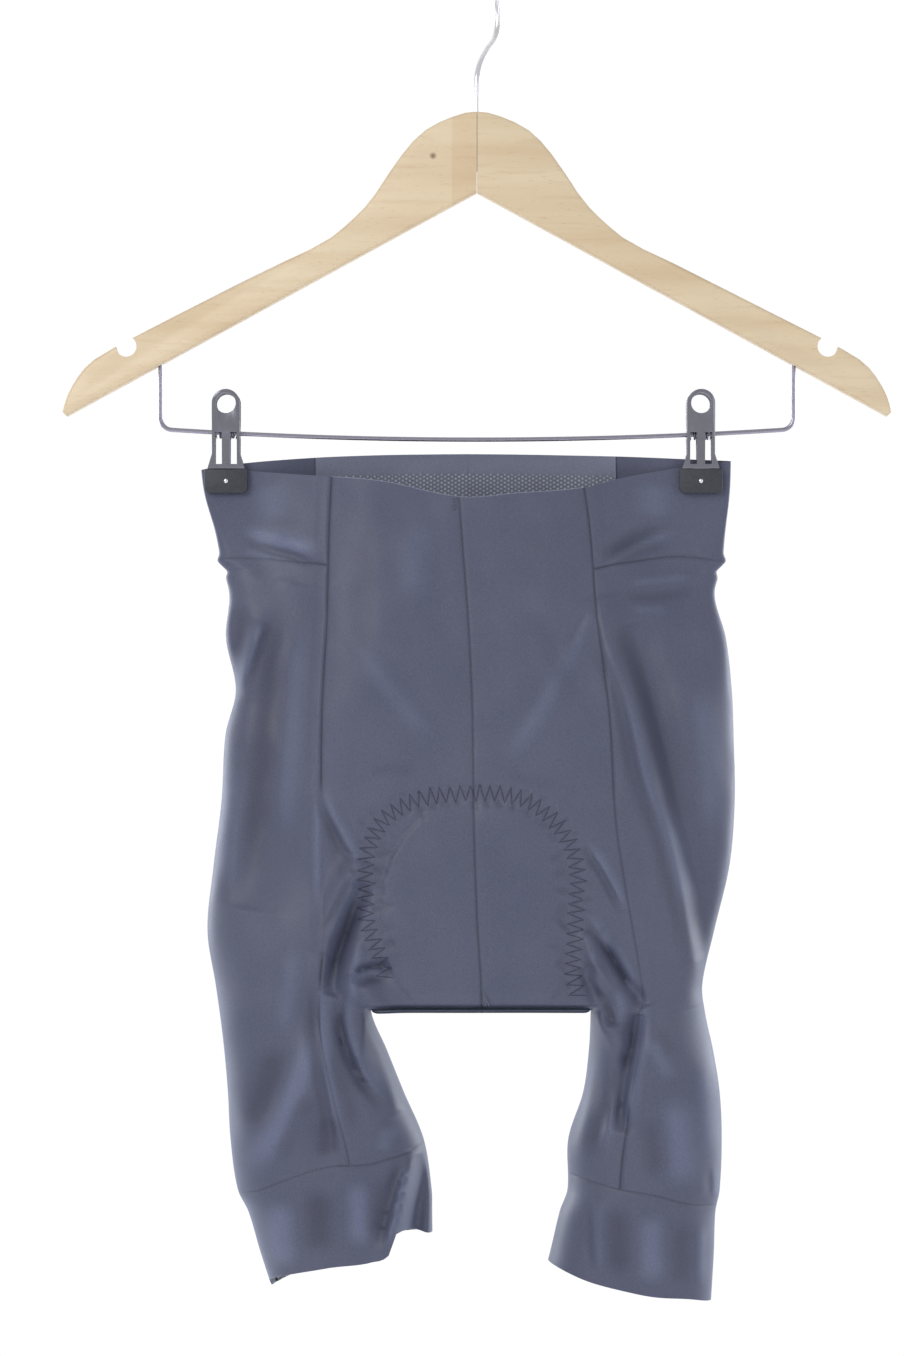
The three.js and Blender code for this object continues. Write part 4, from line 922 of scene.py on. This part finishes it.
class Finish:
    """A material with one Principled shader, and short ways to add its nodes."""

    def __init__(self, name, **values):
        self.material = bpy.data.materials.new(name)
        self.material.use_nodes = True
        self.tree = self.material.node_tree
        self.tree.nodes.clear()
        output = self.tree.nodes.new("ShaderNodeOutputMaterial")
        self.shader = self.tree.nodes.new("ShaderNodeBsdfPrincipled")
        self.tree.links.new(self.shader.outputs[0], output.inputs[0])
        self.place = self.tree.nodes.new("ShaderNodeTexCoord").outputs["Object"]
        for key, value in values.items():
            self.shader.inputs[key.replace("_", " ")].default_value = value

    def node(self, kind, inputs, output=0, **settings):
        made = self.tree.nodes.new(kind)
        for key, value in settings.items():
            setattr(made, key, value)
        for key, value in inputs.items():
            if isinstance(value, bpy.types.NodeSocket):
                self.tree.links.new(value, made.inputs[key])
            else:
                made.inputs[key].default_value = value
        return made.outputs[output]

    def noise(self, scale, detail=2.0, roughness=0.5, place=None):
        inputs = {"Vector": place or self.place, "Scale": scale, "Detail": detail, "Roughness": roughness}
        return self.node("ShaderNodeTexNoise", inputs)

    def math(self, operation, first, second=0.0):
        return self.node("ShaderNodeMath", {0: first, 1: second}, operation=operation)

    def mapped(self, value, low, high, to_low, to_high):
        inputs = {0: value, 1: low, 2: high, 3: to_low, 4: to_high}
        return self.node("ShaderNodeMapRange", inputs)

    def mix(self, factor, first, second, blend_type="MIX"):
        inputs = {0: factor, 6: first, 7: second}
        return self.node("ShaderNodeMix", inputs, output=2, data_type="RGBA", blend_type=blend_type)

    def stretched(self, turn, scale):
        inputs = {"Vector": self.place, "Rotation": turn, "Scale": scale}
        return self.node("ShaderNodeMapping", inputs)

    def attribute(self, name):
        return self.node("ShaderNodeAttribute", {}, output=2, attribute_name=name)

    def lattice(self, pitch):
        """Bumps in a honeycomb arrangement on the XZ plane: 1 in the middle of each, down to -0.5."""
        total = None
        for angle in (0, 60, 120):
            turn = math.radians(angle)
            along = (2 * math.pi / pitch * math.cos(turn), 0, 2 * math.pi / pitch * math.sin(turn))
            inputs = {0: self.place, 1: along}
            phase = self.node("ShaderNodeVectorMath", inputs, output=1, operation="DOT_PRODUCT")
            wave = self.math("COSINE", phase)
            total = wave if total is None else self.math("ADD", total, wave)
        return self.math("MULTIPLY", total, 1 / 3)

    def bump(self, height, strength, distance):
        inputs = {"Height": height, "Strength": strength, "Distance": distance}
        self.tree.links.new(self.node("ShaderNodeBump", inputs), self.shader.inputs["Normal"])

    def colour(self, socket):
        self.tree.links.new(socket, self.shader.inputs["Base Color"])

    def roughness(self, socket):
        self.tree.links.new(socket, self.shader.inputs["Roughness"])


KNIT_MIDDLE = linear(88, 92, 113)
# the painted highlight colour of the fold ridges, then the painted shade colour of the fold troughs
KNIT_PAINTED_HIGHLIGHT = linear(122, 130, 160)
KNIT_PAINTED_SHADE = linear(60, 63, 80)


def knit():
    """Satin stretch knit: slate navy, with a painted highlight on its ridges and painted shade in its troughs
    and seams.
    """
    made = Finish("knit", Specular_IOR_Level=0.35, Sheen_Weight=0.35, Sheen_Roughness=0.35)
    made.shader.inputs["Sheen Tint"].default_value = (0.62, 0.72, 1.0, 1)
    # painted highlight on the fold ridges and painted shade in the fold troughs
    painted_fold_shading = made.attribute("painted_fold_shading")
    base = made.mix(made.mapped(painted_fold_shading, 0.05, 1.0, 0, 0.5), KNIT_MIDDLE, KNIT_PAINTED_HIGHLIGHT)
    base = made.mix(made.mapped(painted_fold_shading, -0.05, -1.0, 0, 0.55), base, KNIT_PAINTED_SHADE)
    # painted shade along the seam lines, towards a near black navy
    base = made.mix(made.mapped(made.attribute("seam"), 0, 1, 0, 0.62), base, linear(40, 42, 52))
    grain = made.noise(1500, 3, 0.6)
    cloudy = made.noise(22, 2)
    dimmed = made.mix(1.0, base, linear(170, 172, 180), "MULTIPLY")
    base = made.mix(made.mapped(grain, 0.3, 0.7, 0, 0.5), base, dimmed)
    dimmed = made.mix(1.0, base, linear(205, 208, 225), "MULTIPLY")
    base = made.mix(made.mapped(cloudy, 0.35, 0.75, 0, 0.3), base, dimmed)
    made.colour(base)
    made.roughness(made.mapped(cloudy, 0.3, 0.7, 0.46, 0.56))
    stitches = made.lattice(0.0007)
    made.bump(made.math("ADD", made.math("MULTIPLY", stitches, 0.35), grain), 0.18, 0.00012)
    return made.material


def dotted(name, ground, dot, pitch):
    """Honeycomb mesh: light dots on a darker ground, each a small raised cell."""
    made = Finish(name, Specular_IOR_Level=0.3, Sheen_Weight=0.2)
    cell = made.lattice(pitch)
    inside = made.mapped(cell, 0.05, 0.55, 0, 1)
    uneven = made.mapped(made.noise(260, 2), 0.3, 0.7, 0.6, 1)
    made.colour(made.mix(made.math("MULTIPLY", inside, uneven), ground, dot))
    made.roughness(made.mapped(cell, -0.5, 1, 0.75, 0.5))
    made.bump(cell, 0.6, 0.0003)
    return made.material


def facing_cloth():
    made = Finish("facing", Specular_IOR_Level=0.3, Sheen_Weight=0.3)
    fine = made.noise(1200, 3)
    made.colour(made.mix(made.mapped(fine, 0.3, 0.7, 0, 1), linear(108, 113, 132), linear(120, 125, 145)))
    made.roughness(made.mapped(fine, 0.3, 0.7, 0.5, 0.62))
    made.bump(made.lattice(0.0008), 0.2, 0.0001)
    return made.material


def thread(name, shade, darker):
    made = Finish(name, Specular_IOR_Level=0.3)
    inputs = {"Vector": made.place, "Scale": 900.0, "Distortion": 2.0}
    twist = made.node("ShaderNodeTexWave", inputs, output=1, bands_direction="DIAGONAL")
    made.colour(made.mix(twist, darker, shade))
    made.roughness(made.mapped(twist, 0, 1, 0.5, 0.7))
    made.bump(twist, 0.3, 0.0001)
    return made.material


def beech(name, turn):
    """Varnished beech with its grain along the arm, a few darker streaks and one small knot."""
    made = Finish(name, Specular_IOR_Level=0.45, Coat_Weight=0.12, Coat_Roughness=0.25)
    along = made.stretched((0, turn, 0), (7, 60, 90))
    wide = made.stretched((0, turn, 0), (2.2, 14, 26))
    fine = made.noise(3.0, 6, 0.6, along)
    streak = made.noise(2.2, 3, 0.5, wide)
    base = made.mix(made.mapped(streak, 0.35, 0.7, 0, 1), linear(217, 199, 170), linear(204, 182, 149))
    base = made.mix(made.mapped(fine, 0.52, 0.72, 0, 0.4), base, linear(190, 163, 127))
    flecks = made.noise(9.0, 2, 0.5, made.stretched((0, turn, 0), (26, 60, 150)))
    base = made.mix(made.mapped(flecks, 0.64, 0.74, 0, 0.35), base, linear(170, 128, 84))
    knot_place = (-23.6 * MM, -6 * MM, -102 * MM)
    away = made.node("ShaderNodeVectorMath", {0: made.place, 1: knot_place}, output=1, operation="DISTANCE")
    base = made.mix(made.mapped(away, 0.0006, 0.0022, 0.8, 0), base, linear(104, 72, 46))
    upright = made.node("ShaderNodeSeparateXYZ", {0: made.place})
    strip = made.math("COMPARE", upright, -7.0 * MM)
    strip.node.inputs[2].default_value = 6.4 * MM
    base = made.mix(made.math("MULTIPLY", strip, 0.22), base, linear(186, 148, 104))
    made.colour(base)
    made.roughness(made.mapped(fine, 0.3, 0.7, 0.36, 0.52))
    made.bump(fine, 0.12, 0.0003)
    return made.material


def metal(name, shade, rough):
    made = Finish(name, Metallic=1.0)
    marks = made.noise(220, 4, 0.6)
    darker = tuple(0.6 * channel for channel in shade[:3]) + (1,)
    made.colour(made.mix(made.mapped(marks, 0.35, 0.75, 0, 0.4), shade, darker))
    made.roughness(made.mapped(marks, 0.3, 0.7, rough, rough + 0.12))
    made.bump(marks, 0.04, 0.0001)
    return made.material


def rubber():
    made = Finish("rubber", Specular_IOR_Level=0.4)
    fine = made.noise(900, 3)
    made.colour(made.mix(fine, linear(39, 40, 47), linear(68, 70, 78)))
    made.roughness(made.mapped(fine, 0.3, 0.7, 0.45, 0.62))
    made.bump(fine, 0.25, 0.0002)
    return made.material


def cut_edge():
    made = Finish("cut_edge", Specular_IOR_Level=0.25, Sheen_Weight=0.4)
    fine = made.noise(700, 2)
    made.colour(made.mix(fine, linear(112, 118, 138), linear(150, 157, 176)))
    made.roughness(made.mapped(fine, 0.3, 0.7, 0.6, 0.8))
    made.bump(fine, 0.4, 0.0002)
    return made.material


# ---- pieces ------------------------------------------------------------------------------------

def add_cloth():
    """Every panel and what lies inside it. Gives back the surface for what is sewn on it."""
    ids, points, painted_fold_shadings, seams = build_surface()
    quads = panel_cells(ids)
    outer_names = [name for name in CUTS if not name.startswith(("gripper", "waist_facing", "back_lining"))]
    normals = normals_of(points, np.concatenate([quads[name] for name in outer_names]))
    surface = (points, normals, painted_fold_shadings, seams)
    finishes = {
        "waist_facing": facing_cloth(),
        "back_lining": dotted("lining_mesh", linear(110, 115, 131), linear(164, 170, 186), 0.0019),
        "gripper": dotted("gripper_mesh", linear(84, 87, 96), linear(138, 142, 152), 0.0021),
    }
    outer = knit()
    slots = {"back_lining": "mesh", "gripper_left": "mesh", "gripper_right": "mesh"}
    for name, (width, length, area) in CUTS.items():
        finish = finishes.get(name, finishes.get(name.split("_")[0], outer))
        if name in outer_names:
            piece = shell(name + "_cloth", quads[name], surface)
        else:
            piece = shell(name + "_cloth", quads[name], surface, CLOTH + LINING_GAP, LINING)
        dress(piece, finish, slots.get(name, "knit"), name)
    return ids, surface


def on_front(x, z, lift=0.0):
    """Points on the front of the cloth, moved out by a lift."""
    x, z = np.atleast_1d(np.asarray(x, float)), np.atleast_1d(np.asarray(z, float))
    z = z + 0 * x

    def height(at_x, at_z):
        sides = [cloth("front", side, at_x, at_z)[0] for side in SIDES]
        return np.where(at_x < curve(SEAMS["front"], MIDDLE, at_z), sides[0], sides[1])

    step = 0.2
    here = height(x, z)
    slope_x = (height(x + step, z) - here) / step
    slope_z = (height(x, z + step) - here) / step
    out = np.column_stack([-slope_x, -np.ones(len(x)), -slope_z])
    out /= np.linalg.norm(out, axis=1, keepdims=True)
    lifts = np.broadcast_to(np.asarray(lift, float), x.shape)[:, None]
    return np.column_stack([x, -here, z]) + out * lifts


def add_zigzag():
    """The zigzag that sews the pad in: each stitch dips into the cloth at both its ends."""
    path = smooth_path(ARCH, 0.5)
    length = np.concatenate([[0], np.cumsum(np.linalg.norm(np.diff(path, axis=0), axis=1))])
    ahead = np.gradient(path, axis=0)
    ahead /= np.linalg.norm(ahead, axis=1, keepdims=True)
    beside = np.column_stack([-ahead[:, 1], ahead[:, 0]])
    stitches = int(length[-1] / (ARCH_PITCH / 2))
    wander = np.random.default_rng(5).normal(0, STITCH_WANDER, (stitches + 1, 2))
    at = np.arange(stitches + 1) * ARCH_PITCH / 2

    def spaced(values):
        return np.column_stack([np.interp(at, length, values[:, k]) for k in range(2)])

    swing = np.where(np.arange(stitches + 1) % 2, 0.5, -0.5) * ARCH_WIDTH
    corners = spaced(path) + spaced(beside) * swing[:, None] + wander
    share = np.linspace(0, 1, STITCH_STEPS)
    lines = corners[:-1, None] * (1 - share[:, None]) + corners[1:, None] * share[:, None]
    lift = np.tile(0.34 * np.sin(math.pi * share) - 0.12, stitches)
    points = on_front(lines[..., 0].reshape(-1), lines[..., 1].reshape(-1), lift)
    threads = points.reshape(stitches, STITCH_STEPS, 3)
    return add_tubes("pad_zigzag", [tube(thread_path, STITCH_THREAD, 6) for thread_path in threads])


def add_bartack():
    """The dense tack beside the top of the middle seam."""
    tubes = []
    for number in range(9):
        z = -285.8 - 0.75 * number
        x = np.linspace(-13.6, -11.0, 5) + (0.2 if number % 2 else -0.1)
        lift = np.array([-0.1, 0.3, 0.4, 0.3, -0.1])
        tubes.append(tube(on_front(x, np.full(5, z), lift), 0.3, 6))
    return add_tubes("front_bartack", tubes)


def add_thread_tuft():
    """The loose ends of the middle seam's thread, just above the crotch."""
    tubes = []
    for lean, drop, curl in ((1.2, 7.5, 1.0), (2.6, 6.2, -0.8), (0.4, 5.0, 0.6), (3.2, 8.4, 0.4)):
        s = np.linspace(0, 1, 9)
        x = 3.2 + lean * s + curl * np.sin(3.5 * s)
        z = -547.5 - drop * s
        base = on_front(x, z, 0.3)
        base[:, 1] -= 1.6 * s * s
        tubes.append(tube(base, 0.16, 6))
    return add_tubes("crotch_thread_ends", tubes)


def add_edges(ids, surface):
    """A fine cord along the cut edges of the front waist and of the hems, where the raw knit is paler."""
    points, normals = surface[:2]
    tubes = []
    for side in SIDES:
        lines = [ids[side, "front"][0, PRINCESS_COLUMN + 1:MIDDLE_COLUMN + 1]]
        lines += [ids[side, face][HEM_ROW, 2:INNER_COLUMN - 1] for face in FACES]
        for line in lines:
            tubes.append(tube(points[line] - normals[line] * 0.4 + (0, 0, 0.05), 0.26, 6))
    return add_tubes("cut_edges", tubes)


def add_hook():
    start = [(0, -110), (0, -90), (0, -72), (0, -60), (4, -51.5), (12, -43.6), (20.5, -37.4)]
    turn = np.radians(np.linspace(-16, 160, 12))
    arc = [(HOOK_RADIUS * math.cos(a), -24.2 + HOOK_RADIUS * math.sin(a)) for a in turn]
    flat = smooth_path(start + arc, 2.0)
    across, up = flat[:, 0], flat[:, 1]
    path = np.column_stack([across * math.cos(HOOK_TURN), across * math.sin(HOOK_TURN), up])
    return add_tubes("hook_wire", [tube(path, HOOK_WIRE, 20, taper=True)])


def add_bar():
    """The trouser bar: down from one arm, round a corner, along a slight sag and up to the other."""
    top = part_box("hanger_bar")[1][2] / MM - 0.2
    half_run = BAR_HALF - BAR_CORNER
    down = [(-BAR_HALF, z) for z in np.linspace(top, BAR_END + BAR_CORNER, 12)]
    turn = np.radians(np.linspace(180, 270, 8))[1:-1]
    corner = [
        (-half_run + BAR_CORNER * math.cos(a), BAR_END + BAR_CORNER + BAR_CORNER * math.sin(a)) for a in turn
    ]
    x = np.linspace(-half_run, half_run, 90)
    along = list(zip(x, BAR_END - BAR_SAG * (1 - (x / half_run) ** 2)))
    left = down + corner
    right = [(-x_at, z_at) for x_at, z_at in reversed(left)]
    flat = np.array(left + along + right)
    path = np.column_stack([flat[:, 0], np.zeros(len(flat)), flat[:, 1]])
    return add_tubes("bar_wire", [tube(path, BAR_WIRE, 16)])


def add_spring(side):
    """The coil that keeps a clip shut, round the trouser bar."""
    low, high = (np.array(corner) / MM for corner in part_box(f"clip_{side}_spring"))
    middle = (low + high) / 2
    wire, turns = 0.55, 7
    radius = (high[2] - low[2]) / 2 - wire
    turn = np.linspace(0, 2 * math.pi * turns, turns * 20)
    x = np.linspace(low[0] + wire, high[0] - wire, len(turn))
    path = np.column_stack([x, middle[1] + radius * np.cos(turn), middle[2] + radius * np.sin(turn)])
    return add_tubes(f"clip_{side}_coil", [tube(path, wire, 8)])


def add_rivet(side):
    """The bright rivet in the middle of a front pad."""
    low, high = (np.array(corner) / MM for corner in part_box(f"clip_{side}_front_pad"))
    middle = (low + high) / 2
    rings = [(1.3, 0.15), (1.25, -0.25), (1.0, -0.5), (0.6, -0.68), (0.2, -0.74)]
    count = 20
    turn = np.linspace(0, 2 * math.pi, count, endpoint=False)
    points = []
    for radius, out in rings:
        for a in turn:
            points.append((middle[0] + radius * math.cos(a), low[1] + out, middle[2] + radius * math.sin(a)))
    return add_mesh(f"clip_{side}_rivet", points, ring_faces(len(rings), count))


def add_hanger():
    arm = math.radians(33)
    for side, turn in (("left", arm), ("right", -arm)):
        name = f"hanger_wood_{side}"
        dress(refined(name, 0), beech("beech_" + side, turn), "beech", name)
    wire = metal("bar_wire", (0.36, 0.35, 0.43, 1), 0.22)
    dress(add_hook(), metal("hook_wire", (0.88, 0.88, 0.90, 1), 0.2), "wire", "hanger_hook")
    dress(add_bar(), wire, "wire", "hanger_bar")
    plate = metal("clip_plate", (0.28, 0.28, 0.33, 1), 0.14)
    grip = rubber()
    bright = metal("rivet", (0.8, 0.8, 0.84, 1), 0.2)
    for side in SIDES:
        dress(add_spring(side), wire, "wire", f"clip_{side}_spring")
        dress(add_rivet(side), bright, "wire")
        for face in FACES:
            name = f"clip_{side}_{face}_plate"
            dress(refined(name, 0.3), plate, "plate", name)
            name = f"clip_{side}_{face}_pad"
            dress(refined(name, 0.5), grip, "rubber", name)


# ---- studio ------------------------------------------------------------------------------------

FLOOR = -1250              # height of the floor, millimetres
CAMERA_PLACE = (-0.0134, -2.6, -0.3817)
VIEW_SPAN = 0.728    # width, at the object, of what the sensor sees, metres
CENTRE = (0, 0, -0.42)

# name, place, what it points at, size, power and colour of each light, in metres and watts
LIGHTS = (
    ("key", (-1.1, -1.7, 0.5), CENTRE, 1.1, 17, (1, 0.99, 0.97)),
    ("fill", (1.5, -1.5, -0.2), CENTRE, 1.4, 5, (0.93, 0.96, 1)),
    ("edge_left", (-1.3, 0.9, -0.3), CENTRE, 1.0, 14, (0.86, 0.91, 1)),
    ("edge_right", (1.3, 0.9, -0.3), CENTRE, 1.0, 14, (0.86, 0.91, 1)),
    ("bounce", (0, -0.7, -1.15), (0, 0, -0.55), 1.2, 0.6, (1, 0.90, 0.78)),
)


def add_light(name, place, target, size, power, shade):
    lamp = bpy.data.lights.new(name, "AREA")
    lamp.shape = "DISK"
    lamp.size = size
    lamp.energy = power
    lamp.color = shade
    made = bpy.data.objects.new(name, lamp)
    made.location = place
    made.rotation_euler = (Vector(target) - Vector(place)).to_track_quat("-Z", "Y").to_euler()
    bpy.context.scene.collection.objects.link(made)


def add_world():
    """A white studio, brightest behind the object."""
    world = bpy.data.worlds.new("studio")
    bpy.context.scene.world = world
    world.use_nodes = True
    tree = world.node_tree
    direction = tree.nodes.new("ShaderNodeSeparateXYZ")
    tree.links.new(tree.nodes.new("ShaderNodeTexCoord").outputs["Generated"], direction.inputs[0])
    level = tree.nodes.new("ShaderNodeMapRange")
    level.interpolation_type = "SMOOTHSTEP"
    for number, value in ((1, -0.3), (2, 0.75), (3, 0.62), (4, 1.02)):
        level.inputs[number].default_value = value
    tree.links.new(direction.outputs[1], level.inputs[0])
    tree.links.new(level.outputs[0], tree.nodes["Background"].inputs["Strength"])
    tree.nodes["Background"].inputs["Color"].default_value = (1, 1, 1, 1)


def add_studio():
    scene = bpy.context.scene
    scene.view_settings.view_transform = "Standard"
    lens = bpy.data.cameras.new("camera")
    lens.sensor_width = 36
    lens.lens = lens.sensor_width * -CAMERA_PLACE[1] / VIEW_SPAN
    lens.clip_end = 60
    camera = bpy.data.objects.new("camera", lens)
    camera.location = CAMERA_PLACE
    camera.rotation_euler = (math.pi / 2, 0, 0)
    scene.collection.objects.link(camera)
    scene.camera = camera
    add_world()
    for light in LIGHTS:
        add_light(*light)
    corners = [(x, y, FLOOR) for x, y in ((-3000, -3000), (3000, -3000), (3000, 2000), (-3000, 2000))]
    floor = add_mesh("floor", corners, [(0, 1, 2, 3)], False)
    pale = Finish("floor", Roughness=0.8)
    pale.colour(pale.mix(pale.noise(3, 2), linear(236, 236, 238), linear(244, 244, 245)))
    floor.data.materials.append(pale.material)


def main():
    add_studio()
    ids, surface = add_cloth()
    dark = thread("dark_thread", linear(74, 77, 96), linear(54, 56, 70))
    dress(add_zigzag(), dark, "knit")
    dress(add_bartack(), thread("tack_thread", linear(110, 114, 134), linear(78, 82, 100)), "knit")
    dress(add_thread_tuft(), thread("loose_thread", linear(120, 124, 140), linear(84, 88, 104)), "knit")
    dress(add_edges(ids, surface), cut_edge(), "knit")
    add_hanger()


main()
